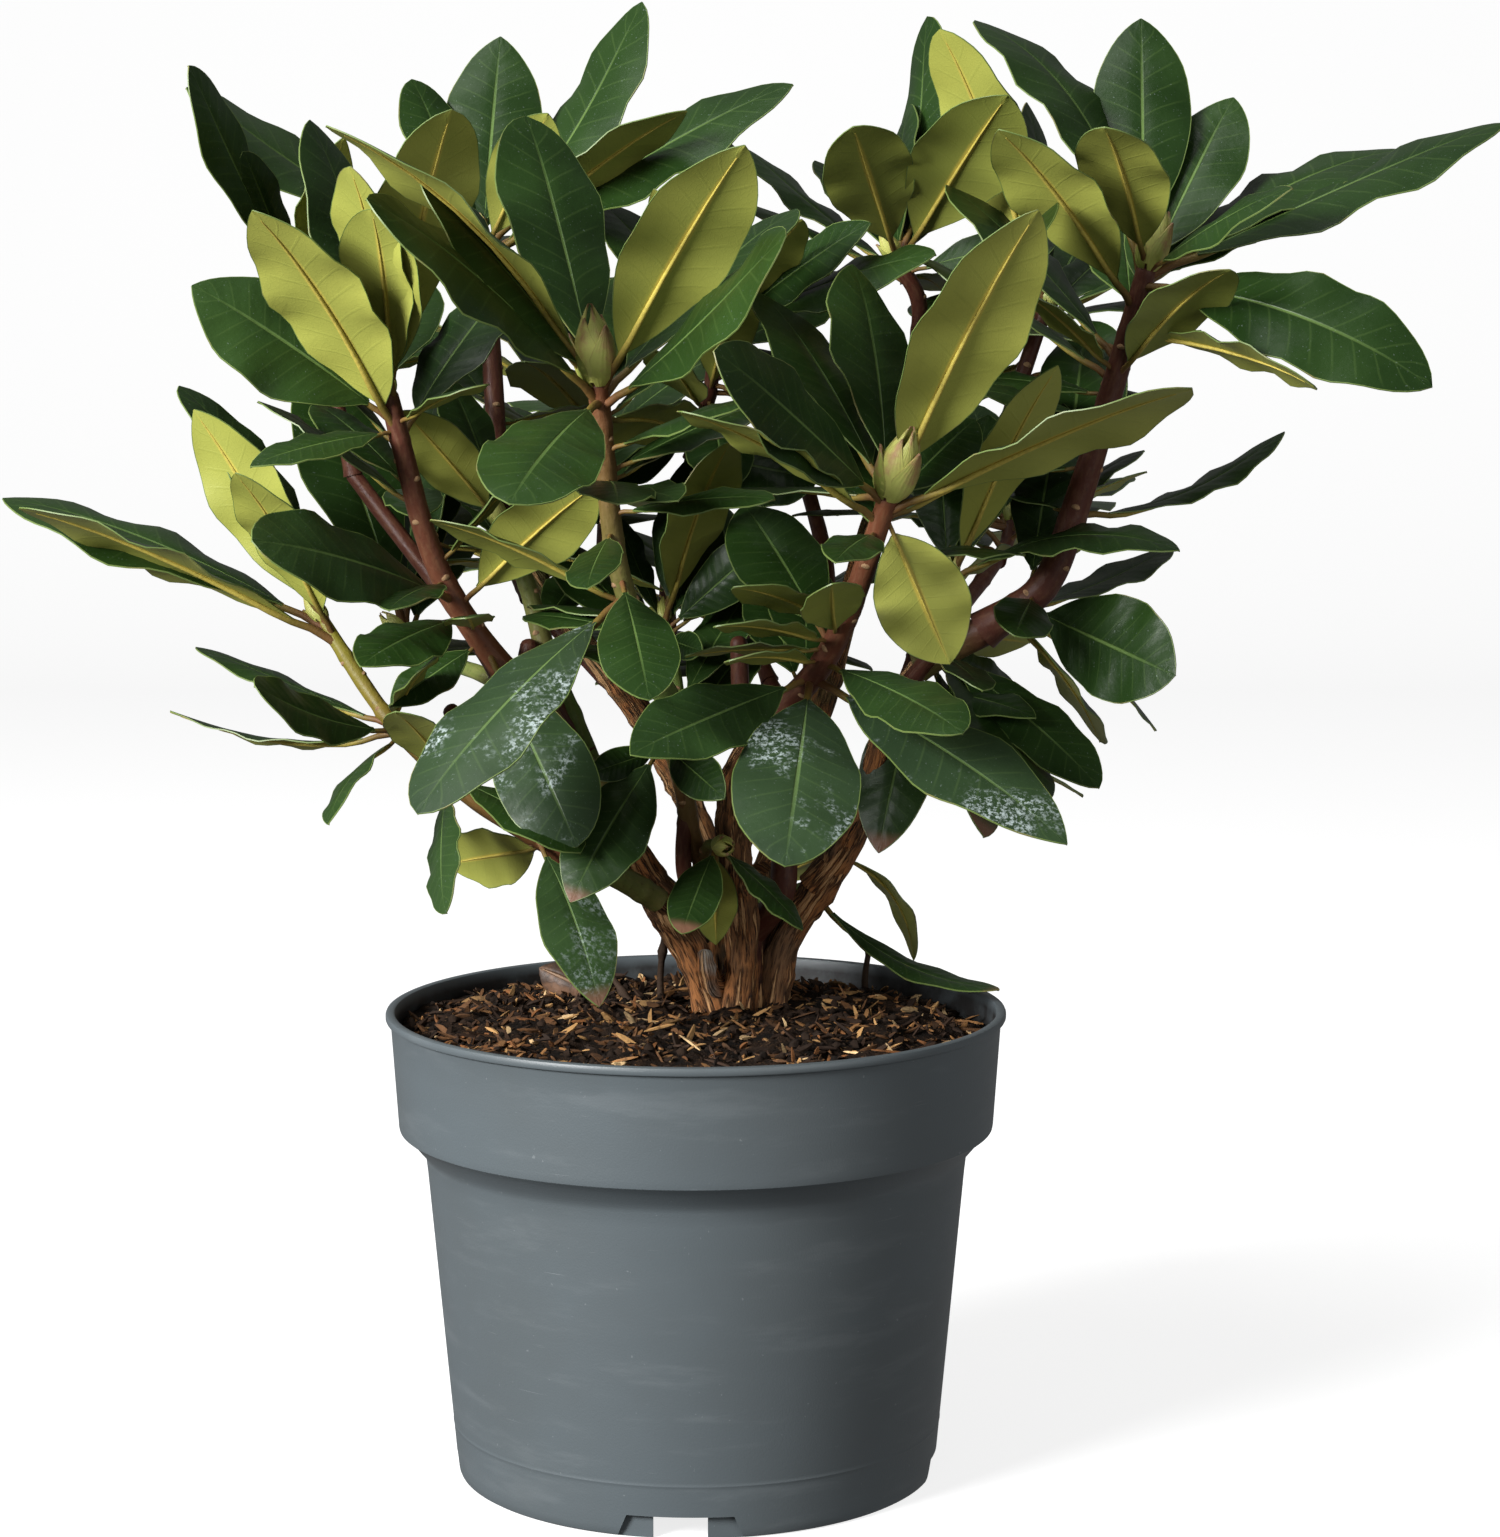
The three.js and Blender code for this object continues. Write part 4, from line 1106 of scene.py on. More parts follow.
class Line:
    """A smooth line through places.

    Between two of them it is a cubic whose slope at each is half the step from the place before to the
    place after.
    """

    STEPS = 200

    def __init__(self, places: list[Array]) -> None:
        """Lays the line.

        Args:
            places: The places it runs through.
        """
        p = np.array(places, float)
        self.places = np.vstack([2 * p[0] - p[1], p, 2 * p[-1] - p[-2]])
        self.spans = len(p) - 1
        self.times = np.linspace(0, 1, self.STEPS + 1)
        steps = np.linalg.norm(np.diff(self._at_time(self.times), axis=0), axis=1)
        self.lengths = np.concatenate([[0.0], np.cumsum(steps)])

    @property
    def length(self) -> float:
        """Length in millimetres."""
        return float(self.lengths[-1])

    def _at_time(self, time: Array) -> Array:
        """Places on the cubics.

        Args:
            time: Shares of the number of spans, (n,).

        Returns:
            (n, 3) places.
        """
        spot = time * self.spans
        i = np.minimum(spot.astype(int), self.spans - 1)
        f = (spot - i)[:, None]
        before, start, end, after = (self.places[i + k] for k in range(4))
        out, into = (end - before) / 2, (after - start) / 2
        square, cube = 3 * (end - start) - 2 * out - into, 2 * (start - end) + out + into
        return start + f * (out + f * (square + f * cube))

    def at(self, share: Array | float) -> Array:
        """Places on the line.

        Args:
            share: Shares of its length, (n,) or one number.

        Returns:
            (n, 3) or (3,) places.
        """
        shares = np.atleast_1d(np.asarray(share, float))
        found = self._at_time(np.interp(shares * self.length, self.lengths, self.times))
        return found if np.ndim(share) else found[0]


@dataclass
class Wood:
    """The lines and radii of every limb, and the surfaces round them.

    Attributes:
        radii: Radius of each limb at foot and tip.
        row_gap: Millimetres between two rings of points.
        collar: Height and reach of the swelling at a foot, as shares of the foot's radius.
        ring_gap: Millimetres of limb for each growth ring.
        ring: Height and half width of such a ring.
        pitch: Length over which a ridge of the bark wanders.
        foot_share: Radius of a root crown's stem over that of its bough.
    """

    lines: dict[str, Line] = field(default_factory=dict)
    radii: dict[str, tuple[float, float]] = field(default_factory=dict)
    row_gap: float = 1.6
    collar: tuple[float, float] = (0.28, 1.3)
    ring_gap: float = 26.0
    ring: tuple[float, float] = (0.55, 1.7)
    pitch: float = 34.0
    foot_share: float = 0.74

    def grow(self) -> None:
        """Lays each limb's line from its parent's, boughs first and then the shoots' stems."""
        self.lines["trunk"] = Line([np.array(p) for p in ROOT_CROWN])
        self.radii["trunk"] = (CROWN_RADII[0], CROWN_RADII[2])
        for name, limb in {**BOUGHS, **{n: s.stem for n, s in SHOOTS.items()}, **STUBS}.items():
            root = self.lines[limb.on].at(limb.at)
            self.lines[name] = Line([root, *(np.array(p, float) for p in limb.through)])
            self.radii[name] = limb.radius
        for name, (foot, bend, share) in CROWN_STEMS.items():
            bough, radius = self.lines[name], BOUGHS[name].radius
            places = [np.array(foot), np.array(bend), bough.at(share), bough.at(share + 0.2)]
            self.lines[name + "_foot"] = Line(places)
            top = float(np.interp(share, (0, 1), radius))
            self.radii[name + "_foot"] = (radius[0] * self.foot_share, top)

    def sheet(self, name: str, rows: int = 7, sides: int = 6) -> Sheet:
        """A coarse wall round a limb, for telling what touches it.

        Args:
            name: The limb.
            rows: Rings of points.
            sides: Points in a ring.

        Returns:
            Points and quads.
        """
        path = self.lines[name].at(np.linspace(0, 1, rows))
        _, across, outward = steady_frames(path)
        radius = np.linspace(*self.radii[name], rows)[:, None, None]
        ring = rings_round(path, across, outward, radius, round_about(sides))
        return ring.reshape(-1, 3), lattice(rows, sides, True)

    def skin(self, name: str, sides: int, relief: float, seed: int) -> Surface:
        """The limb's surface, painted with its skin colours.

        The radius runs evenly from foot to tip, with a collar at the foot, faint rings, and ripples as
        relief. A round end closes the tip.

        Args:
            name: The limb.
            sides: Points round it.
            relief: Depth of the relief.
            seed: Picks the relief.

        Returns:
            The surface.
        """
        line, (foot, tip) = self.lines[name], self.radii[name]
        rows = max(8, int(line.length / self.row_gap))
        share = np.linspace(BARE.get(name, 0.0), 1, rows)
        path = line.at(share)
        along, across, outward = steady_frames(path)
        distance = share * line.length
        height, reach = self.collar
        radius = foot + (tip - foot) * share + height * foot * np.exp(-distance / (reach * foot))
        radius = radius + self._rings(distance, line.length, seed) * min(1.0, relief + 0.3)
        if name == "trunk":
            radius = self._core(share)
        bend = np.array([0.35, 0.65, 0.88, 0.99]) * (math.pi / 2)
        path = np.vstack([path, path[-1] + along[-1] * tip * 0.75 * np.sin(bend)[:, None]])
        across = np.vstack([across, np.repeat(across[-1:], 4, 0)])
        outward = np.vstack([outward, np.repeat(outward[-1:], 4, 0)])
        radius = np.concatenate([radius, radius[-1] * np.cos(bend)])
        distance = np.concatenate([distance, distance[-1] + tip * np.sin(bend)])
        turn = round_about(sides)
        wavy = relief * ripples(turn[None], distance[:, None], seed, self.pitch)
        wavy = wavy * np.minimum(1, radius / foot)[:, None]
        ring = rings_round(path, across, outward, (radius[:, None] + wavy)[..., None], turn)
        low, high = SKINS.get(name.removesuffix("_foot"), (Skin.MAROON, Skin.MAROON))
        blend = np.clip(distance / line.length, 0, 1)[:, None]
        colour = np.array(low.value) * (1 - blend) + np.array(high.value) * blend
        return tube(ring, distance, np.hstack([colour, np.ones((len(colour), 1))]))

    def _core(self, share: Array) -> Array:
        """Radius of the root crown's core, which its stems hide: flared at both ends, and then thinned.

        Args:
            share: Shares of its length.

        Returns:
            Millimetres.
        """
        foot, waist, top = CROWN_RADII
        down, up = np.clip(1 - share / 0.4, 0, 1), np.clip((share - 0.5) / 0.5, 0, 1)
        return (waist + (foot - waist) * down ** 2 + (top - waist) * up) * (0.62 - 0.2 * share)

    def _rings(self, distance: Array, length: float, seed: int) -> Array:
        """What growth rings add to the radius: a bell curve round each of a few drawn spots.

        Args:
            distance: Millimetres along the limb.
            length: The limb's length.
            seed: Picks the spots.

        Returns:
            Millimetres.
        """
        spots = np.random.default_rng(seed).uniform(0.1, 0.9, max(1, int(length / self.ring_gap))) * length
        high, wide = self.ring
        return high * np.exp(-((distance[:, None] - spots[None]) / wide) ** 2).sum(1)


@dataclass
class Posture:
    """How leaves stand: one row of each array for a leaf, in millimetres about the pot's axis."""

    root: Array
    along: Array
    across: Array
    up: Array
    length: Array
    arch: Array
    width: Array
    traits: Array

    @staticmethod
    def of(roots: list[Array], rows: list[Row], traits: list[Row]) -> "Posture":
        """Works out the directions of leaves.

        Along points by heading and rise. Across lies level, square to it, and then turns about it by the
        roll. Up is square to both.

        Args:
            roots: Where the stalks start.
            rows: The leaves, as Shoot lists them.
            traits: Four numbers a leaf.

        Returns:
            Their posture.
        """
        full = np.array([_filled(row) for row in rows])
        heading, rise, roll = np.radians(full[:, 1]), np.radians(full[:, 2]), np.radians(full[:, 4])
        along, flat = pointing(heading, rise)
        across = flat * np.cos(roll)[:, None] - np.cross(along, flat) * np.sin(roll)[:, None]
        up = np.cross(along, across)
        sizes = full[:, 3], full[:, 5], full[:, 6]
        return Posture(np.array(roots), along, across, up, *sizes, np.array(traits))

    def spot(self, at: Array, side: Array, lift: Array) -> Array:
        """Places on the leaves, whose middle line bows out by the arch as a parabola.

        Args:
            at: (k, rows) or (rows,) shares of the length.
            side: Millimetres across, (k, rows, columns).
            lift: Millimetres out of the upper side, (k, rows, columns).

        Returns:
            (k, rows, columns, 3) places.
        """
        reach = (self.length[:, None] * at)[..., None]
        bow = (self.arch * self.length)[:, None, None] * (4 * at * (1 - at))[..., None]
        box = np.s_[:, None, None, :]
        return (self.root[box] + self.along[box] * reach[..., None] + self.across[box] * side[..., None]
                + self.up[box] * (bow + lift)[..., None])

    def sheet(self, number: int) -> Sheet:
        """One leaf as a coarse flat sheet, for telling what it touches.

        Args:
            number: Which leaf.

        Returns:
            Points and quads.
        """
        at = np.array([[0.0, LEAF.petiole, 0.36, 0.62, 0.88, 1.0]])
        half = np.array([0.0, 0.0, 0.8, 1.0, 0.62, 0.0]) * self.width[number] / 2
        side = np.maximum(half, LEAF.petiole_radius)[None, :, None] * np.array([-1.0, 0.0, 1.0])
        one = Posture(*(getattr(self, key)[number:number + 1] for key in self.__dataclass_fields__))
        return one.spot(at, side, np.zeros_like(side)).reshape(-1, 3), lattice(6, 3, False)


def _filled(row: Row) -> Row:
    """Fills in what a leaf's row leaves out.

    Args:
        row: As Shoot lists it.

    Returns:
        All seven numbers.
    """
    place, heading, rise, length, *rest = row
    defaults = (0.0, LEAF.arch, LEAF.width * length)
    return (place, heading, rise, length, *rest, *defaults[len(rest):])


def uneven(i: int, step: float, turn: int) -> float:
    """The share that i steps of an uneven share come to, with whole turns left out."""
    return (i * step + turn * GOLDEN) % 1


def fan_leaves(fan: Place, turn: int) -> list[Row]:
    """The leaves of a fan: steps of uneven shares spread places, headings, rises and lengths.

    Args:
        fan: How many, their middle heading and its spread.
        turn: Sets where the steps start.

    Returns:
        Leaf rows.
    """
    count, middle, spread = fan
    return [(0.7 + 0.3 * uneven(i, 0.37, turn), middle + spread * (2 * uneven(i + 1, GOLDEN, turn) - 1),
             50 * uneven(i + 1, 0.755, turn) - 6, 72 + 34 * uneven(i + 1, 0.569, turn), 0.0)
            for i in range(int(count))]


def filling_leaves(count: int, turn: int) -> list[Row]:
    """Smaller inner leaves by the same steps, lower on a stem and facing all ways.

    Args:
        count: How many are tried.
        turn: Sets where the steps start.

    Returns:
        Leaf rows.
    """
    return [(0.12 + 0.8 * uneven(i, 0.37, turn), 137.5 * i + 61.0 * turn,
             75 * uneven(i + 1, 0.755, turn) - 22, 50 + 36 * uneven(i + 1, 0.569, turn),
             40 * uneven(i, 0.81, turn) - 20) for i in range(count)]


def hides_sky(points: Array) -> bool:
    """Whether a sheet stands in one of the gaps in SKY, when seen from EYE.

    Its points, and places midway between them, are carried along their lines of sight to y = 0.

    Args:
        points: The sheet's points.

    Returns:
        Whether any of them falls in a gap.
    """
    share = EYE[1] / (EYE[1] - points[:, 1])
    seen = EYE[[0, 2]] + (points[:, [0, 2]] - EYE[[0, 2]]) * share[:, None]
    seen = np.vstack([seen, (seen[1:] + seen[:-1]) / 2])
    return any(np.hypot(*(seen - (x, z)).T).min() < r for x, z, r in SKY)


class Thicket:
    """What has grown so far, for telling whether a new leaf would touch it."""

    def __init__(self) -> None:
        """Starts empty."""
        self.owners: list[str] = []
        self.trees: list[BVHTree] = []
        self.boxes: list[Array] = []

    def add(self, owner: str, sheet: Sheet) -> None:
        """Adds a sheet.

        Args:
            owner: Name of the limb or shoot that it belongs to.
            sheet: Its points and quads.
        """
        points, quads = sheet
        self.owners.append(owner)
        self.trees.append(BVHTree.FromPolygons(points.tolist(), quads.tolist()))
        self.boxes.append(np.array([points.min(0), points.max(0)]))

    def clear(self, sheet: Sheet, own: str) -> bool:
        """Whether there is room for a sheet.

        Args:
            sheet: Its points and quads.
            own: The owner whose sheets it may cross.

        Returns:
            Whether it crosses nothing else.
        """
        points, quads = sheet
        tree = BVHTree.FromPolygons(points.tolist(), quads.tolist())
        low, high = points.min(0), points.max(0)
        boxes = np.array(self.boxes)
        meets = ((boxes[:, 0] <= high) & (boxes[:, 1] >= low)).all(1)
        return not any(self.owners[k] != own and tree.overlap(self.trees[k]) for k in np.nonzero(meets)[0])


# ------------------------ foliage


@dataclass
class Blades:
    """Builds leaf blades on the grid of their length and width, all leaves at once.

    Attributes:
        sides: Shares of the half width between the midrib and the margin.
        margin: Width of the pale edge.
        groove: Half width of the midrib's groove.
        thick: Thickness at midrib and margin.
        curl: How far the sides bend down, as a share of the half width.
        wave: Height of the margin's waves, as a share of the half width.
    """

    rows: int = 22
    sides: Row = (0.32, 0.66)
    margin: float = 0.3
    groove: float = 1.3
    thick: tuple[float, float] = (0.9, 0.45)
    curl: float = 0.1
    wave: float = 0.095
    groove_depth: float = 0.45

    def outline(self, t: Array, number: Array) -> Array:
        """Half width over the largest one: t to one power times 1 - t to another, over the peak.

        Args:
            t: Shares along the blades.
            number: Numbers of the leaves, which vary the powers.

        Returns:
            Shares from 0 to 1.
        """
        rise = 0.8 + 0.26 * ((number * GOLDEN) % 1)[:, None]
        fall = 0.6 + 0.26 * ((number * 0.755) % 1)[:, None]
        peak = rise / (rise + fall)
        return t ** rise * (1 - t) ** fall / (peak ** rise * (1 - peak) ** fall)

    def surface(self, leaves: Posture) -> Surface:
        """The blades: an upper and an under grid, joined round the edge.

        The sides bend down as a power of the distance from the midrib, the margins wave as a sine along
        the leaf, and a groove runs down the middle of the upper side.

        Args:
            leaves: How they stand.

        Returns:
            A surface with slot 0 above, 1 below and 2 on the margin.
        """
        count = len(leaves.root)
        number = np.arange(count) + 1.0
        even = np.linspace(0, 1, self.rows)
        t = (0.45 * even + 0.55 * (1 - np.cos(math.pi * even)) / 2)[None]
        at = LEAF.petiole + (1 - LEAF.petiole) * t
        half = np.maximum(leaves.width[:, None] / 2 * self.outline(t, number), 1.1 - 0.85 * t)
        edge = 1 - np.minimum(self.margin / half, 0.3)
        groove = np.minimum(self.groove / half, 0.2)
        ones = np.ones_like(half)
        right = [groove, *(ones * s for s in self.sides), edge, ones]
        v = np.stack([-c for c in reversed(right)] + [0 * ones] + right, -1)
        x = v * half[..., None]
        off = np.abs(v)
        middle = np.sin(math.pi * t)[..., None]
        phase = (number * 2.4)[:, None, None] + np.sign(v) * 1.1
        crests = (2.2 + 1.6 * ((number * 0.37) % 1))[:, None, None]
        curl = (self.curl * (0.3 + 1.4 * ((number * 0.569) % 1)))[:, None, None]
        along = t[..., None]
        lift = -curl * off ** 2.2 * half[..., None] * (0.4 + 0.6 * middle)
        lift += self.wave * off ** 1.6 * half[..., None] * np.sin(crests * TURN * along + phase) * middle
        lift -= LEAF.sag(leaves.length[:, None, None], along)
        above = lift - self.groove_depth * (off < 1e-6) * middle
        body = self.thick[1] + (self.thick[0] - self.thick[1]) * (1 - off) ** 2
        below = lift - body
        points = np.stack([leaves.spot(at, x, above), leaves.spot(at, x, below)], 1)
        columns = v.shape[-1]
        one, slots = self._faces(columns)
        size = 2 * self.rows * columns
        faces = (one[None] + (np.arange(count) * size)[:, None, None]).reshape(-1, 4)
        lay_one = np.stack([np.broadcast_to(along, v.shape), v / 2 + 0.5], -1).reshape(count, -1, 2)
        lay_all = np.concatenate([lay_one, lay_one], 1).reshape(-1, 2)
        bake = np.tile(self._bake(columns, one), (count, 1, 1))
        cells = np.repeat(np.arange(count), len(one))
        return Surface(points.reshape(-1, 3), faces, lay_all[faces], bake, cells, np.tile(slots, count),
                       np.repeat(leaves.traits, size, 0))

    def _faces(self, columns: int) -> tuple[Array, Array]:
        """Quads of one leaf: the upper grid, the under grid, and the strips that join their rims.

        Args:
            columns: Points across.

        Returns:
            Corner numbers and slots.
        """
        rows, step = self.rows, self.rows * columns
        top = lattice(rows, columns, False)
        margin = (top[:, 0] % columns == 0) | (top[:, 0] % columns == columns - 2)
        i, j = np.arange(rows - 1) * columns, np.arange(columns - 1)
        last, tip = columns - 1, (rows - 1) * columns
        left = np.stack([i, i + step, i + columns + step, i + columns], -1)
        right = np.stack([i, i + columns, i + columns + step, i + step], -1) + last
        foot = np.stack([j, j + 1, j + 1 + step, j + step], -1)
        end = np.stack([j, j + step, j + 1 + step, j + 1], -1) + tip
        under = np.where(margin, 2, 1)
        slots = np.concatenate([np.where(margin, 2, 0), under, np.full(2 * len(i) + 2 * len(j), 2)])
        return np.concatenate([top, top[:, [0, 3, 2, 1]] + step, left, right, foot, end]), slots

    def _bake(self, columns: int, faces: Array) -> Array:
        """Places in one leaf's cell: upper side, under side and rim beside each other.

        Args:
            columns: Points across.
            faces: The leaf's quads.

        Returns:
            (m, 4, 2) places from 0 to 1.
        """
        flat = faces % (self.rows * columns)
        place = np.stack([(flat // columns) / (self.rows - 1), (flat % columns) / (columns - 1)], -1)
        grid = len(lattice(self.rows, columns, False))
        side = np.select([np.arange(len(faces)) < grid, np.arange(len(faces)) < 2 * grid], [0, 1], 2)
        low = np.array([0.0, 0.53, 0.48])[side][:, None]
        high = np.array([0.46, 0.46, 0.03])[side][:, None]
        return np.stack([place[..., 0], low + high * place[..., 1]], -1)


@dataclass
class Stalks:
    """Builds leaf stalks, each running on as the rib under its blade."""

    places: Row = (0.0, 0.04, 0.09, LEAF.petiole, 0.22, 0.34, 0.48, 0.62, 0.76, 0.88, 0.95)
    rib: Colour = (0.44, 0.355, 0.066)
    sides: int = 8
    root_radius: float = 1.75
    neck_radius: float = 1.2
    end_radius: float = 0.22

    def surface(self, leaves: Posture) -> Surface:
        """Tapering tubes along the leaves' middle lines, sunk under the blades.

        Args:
            leaves: How the leaves stand.

        Returns:
            The surface, painted from stalk to rib.
        """
        at = np.array(self.places)[None]
        radius = np.interp(at[0], [0, 0.05, LEAF.petiole, 0.4, 0.95],
                           [self.root_radius, 1.3, self.neck_radius, 0.75, self.end_radius])
        radius = radius[None] * np.clip(leaves.length / 95, 0.62, 1.15)[:, None]
        sunk = np.clip((at - 0.1) / 0.08, 0, 1) * (0.62 + radius)
        droop = LEAF.sag(leaves.length[:, None], (at - LEAF.petiole) / (1 - LEAF.petiole))
        turn = round_about(self.sides)[None, None]
        side = radius[..., None] * np.cos(turn)
        lift = radius[..., None] * np.sin(turn) - (sunk + droop)[..., None]
        rings = leaves.spot(at, side, lift)
        tone = leaves.traits[:, 3]
        stops = [0, 0.08, LEAF.petiole, 0.3, 1.0]
        red, green, yellow = (np.array(c) for c in (Skin.RUSSET.value, Skin.LIME.value, self.rib))
        parts = []
        for k, ring in enumerate(rings):
            foot = red * (1 - 0.35 * tone[k]) + green * 0.35 * tone[k]
            neck = green * 0.55 + foot * 0.45
            keys = np.array([foot, foot * 0.9 + green * 0.1, neck, yellow, yellow * 0.85])
            channels = [np.interp(at[0], stops, keys[:, c]) for c in range(3)]
            colour = np.stack([*channels, np.ones(len(at[0]))], 1)
            parts.append(tube(ring[:, ::-1], at[0] * leaves.length[k], colour))
        return Surface.join(parts)


@dataclass
class Foliage:
    """All the leaves: those in set postures, the fans, and the smaller ones inside.

    Attributes:
        filling: How many inner leaves are tried on each shoot.
        posed: The leaves in set postures.
        inner: The others that were kept.
    """

    wood: Wood
    filling: int = 30
    posed: Posture | None = None
    inner: Posture | None = None

    def grow(self) -> None:
        """Places every leaf. A fan or inner leaf that has no room is left out."""
        thicket = Thicket()
        for name in self.wood.lines:
            thicket.add(name, self.wood.sheet(name))
        roots, rows, traits = [], [], []
        for name, shoot in SHOOTS.items():
            for number, row in enumerate(shoot.leaves):
                roots.append(self.wood.lines[name].at(row[0]))
                rows.append(row)
                mix = (len(rows) * GOLDEN) % 1
                # Listed leaves take their traits from the table above; on several of them the shade is
                # painted light. The rest get an uneven tone.
                shade, lime, brown = WORN_AND_PAINTED_LIGHT.get(name, {}).get(number, (0.55 * mix, 0.0, 0.0))
                traits.append((shade, lime, brown, (len(rows) * 0.37) % 1))
        self.posed = Posture.of(roots, rows, traits)
        owners = [name for name, shoot in SHOOTS.items() for _ in shoot.leaves]
        for number, owner in enumerate(owners):
            thicket.add(owner, self.posed.sheet(number))
        kept = []
        for turn, name in enumerate(SHOOTS):
            self._try(thicket, kept, name, fan_leaves(SHOOTS[name].fan, FAN_SEED + turn), None)
        fans = len(kept)
        for turn, name in enumerate(SHOOTS):
            low, high = (np.array(corner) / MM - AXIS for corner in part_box(name))
            self._try(thicket, kept, name, filling_leaves(self.filling, turn), (low - 2, high + 2, fans))
        self.inner = Posture.of(*map(list, zip(*kept)))
        log.info("leaves: %d posed, %d by rule", len(rows), len(kept))

    def _try(self, thicket: Thicket, kept: list[tuple], name: str, rows: list[Row],
             inside: tuple[Array, Array, int] | None) -> None:
        """Adds those leaves of a shoot that have room and leave the gaps open.

        Args:
            thicket: What has grown so far.
            kept: The leaves kept so far, as (root, row, traits).
            name: The shoot.
            rows: The leaves that are tried.
            inside: For inner leaves, which may cross nothing, their box and how many of kept are fans'.
                A fan's leaves may cross those of their own shoot.
        """
        for row in rows:
            root = self.wood.lines[name].at(row[0])
            least, spread, tone, before = (0.2, 0.6, 0.4, 0) if inside is None else (0.1, 0.5, 0.5, inside[2])
            traits = (least + spread * (((len(kept) - before) * GOLDEN) % 1), 0.0, 0.0, tone)
            points, quads = sheet = Posture.of([root], [row], [traits]).sheet(0)
            if inside is None:
                room = thicket.clear(sheet, name)
            else:
                low, high, _ = inside
                room = (points > low).all() and (points < high).all()
                room = room and thicket.clear((points[3:], quads[2:] - 3), "")
            if room and not hides_sky(points):
                thicket.add(name, sheet)
                kept.append((root, row, traits))

    def build(self) -> None:
        """Makes and dresses the leaves and their stalks."""
        sides = [LeafTop().make(), LeafUnder().make(), LeafMargin().make()]
        posed, inner = Blades(), Blades(rows=12, sides=(0.5,))
        posed.surface(self.posed).piece("shaped_leaves", sides, "foliage", list(SHOOTS), 62.0)
        inner.surface(self.inner).piece("fan_leaves", sides, "foliage", [], 62.0)
        stalk = Stalk().make()
        Stalks().surface(self.posed).piece("leaf_stalks", [stalk], "foliage", [])
        Stalks().surface(self.inner).piece("fan_stalks", [stalk], "foliage", [])


@dataclass
class Buds:
    """Buds of overlapping scales at the shoots' tips.

    Attributes:
        small: Length, radius and number of scales where PLUMP has no row.
        grid: Points along and across a scale.
        thick: Thickness of a scale.
    """

    wood: Wood
    small: tuple[float, float, int] = (14.0, 3.3, 6)
    grid: tuple[int, int] = (9, 7)
    thick: float = 0.55

    def _scales(self, foot: Array, along: Array, size: tuple[float, float, int], dry: float) -> list[Surface]:
        """Scales of one bud, from the foot up, each turned from the last by the golden angle.

        The bud's radius is a power of a sine of the height. A scale is a patch of that shape which narrows
        to its tip and stands a little proud.

        Args:
            foot: Where the bud sits.
            along: Which way it points.
            size: Length, radius and number of scales.
            dry: How dry and open it is, from 0 to 1.

        Returns:
            A surface for each scale.
        """
        length, radius, count = size
        rows, columns = self.grid
        u, v = np.meshgrid(np.linspace(0, 1, rows), np.linspace(-1, 1, columns), indexing="ij")
        side = np.cross(along, (0.0, 1.0, 0.2))
        side /= np.linalg.norm(side)
        front = np.cross(along, side)
        parts = []
        for k in range(count):
            low = 0.4 * (k / count) ** 1.2
            reach = min(1.0 - low, 0.66 + 0.12 * ((k * GOLDEN) % 1))
            height = low + reach * u
            belly = 0.72 + 0.28 * np.sin(math.pi * u)
            width = (1.35 - 0.45 * k / count) * (1 - u ** 1.9) ** 0.8 * belly + 0.03
            turn = k * GOLDEN_ANGLE + v * width
            swell = np.sin(math.pi * np.clip(0.03 + 0.97 * height, 0, 1) ** 0.7) ** 0.85
            outer = max(0.0, 1.0 - 3.0 * k / count)
            proud = 0.3 + (count - k) * 0.09 + (0.5 + 2.6 * outer) * dry * u ** 5
            out = radius * swell + proud - 0.3 * np.abs(v) ** 3
            layers = []
            for inset in (0.0, self.thick):
                spread = (out - inset)[..., None]
                layers.append(foot + along * (height * length)[..., None] + spread * (
                    side * np.cos(turn)[..., None] + front * np.sin(turn)[..., None]))
            top = lattice(rows, columns, False)[:, ::-1]
            layer = rows * columns
            faces = np.concatenate([top, top[:, [0, 3, 2, 1]] + layer, _hem(rows, columns)])
            flat = faces % layer
            lay = np.stack([(flat // columns) / (rows - 1), (flat % columns) / (columns - 1)], -1)
            traits = np.array([(k * GOLDEN) % 1, dry * (1 - k / count), 0.0, 1.0])
            none = np.zeros(len(faces), int)
            parts.append(Surface(np.stack(layers).reshape(-1, 3), faces, lay, lay, none, none,
                                 np.tile(traits, (2 * layer, 1))))
        return parts

    def build(self) -> None:
        """Makes and dresses all the buds."""
        parts = []
        for name in SHOOTS:
            line = self.wood.lines[name]
            foot, along = line.at(1.0), line.at(1.0) - line.at(0.94)
            along /= np.linalg.norm(along)
            parts += self._scales(foot, along, PLUMP.get(name, self.small), 0.9 if name in PLUMP else 0.4)
        Surface.join(parts).piece("buds", [BudScale().make()], "foliage", [], 40.0)


def _hem(rows: int, columns: int) -> Array:
    """Quads that join the rims of two grids of points, the second right after the first.

    Args:
        rows: Points along.
        columns: Points across.

    Returns:
        (m, 4) corner numbers.
    """
    last = rows * columns - 1
    i, j = np.arange(columns - 1), np.arange(rows - 1)
    rim = np.concatenate([i, j * columns + columns - 1, last - i, columns * (rows - 1 - j)])
    after = np.roll(rim, -1)
    return np.stack([after, rim, rim + last + 1, after + last + 1], -1)


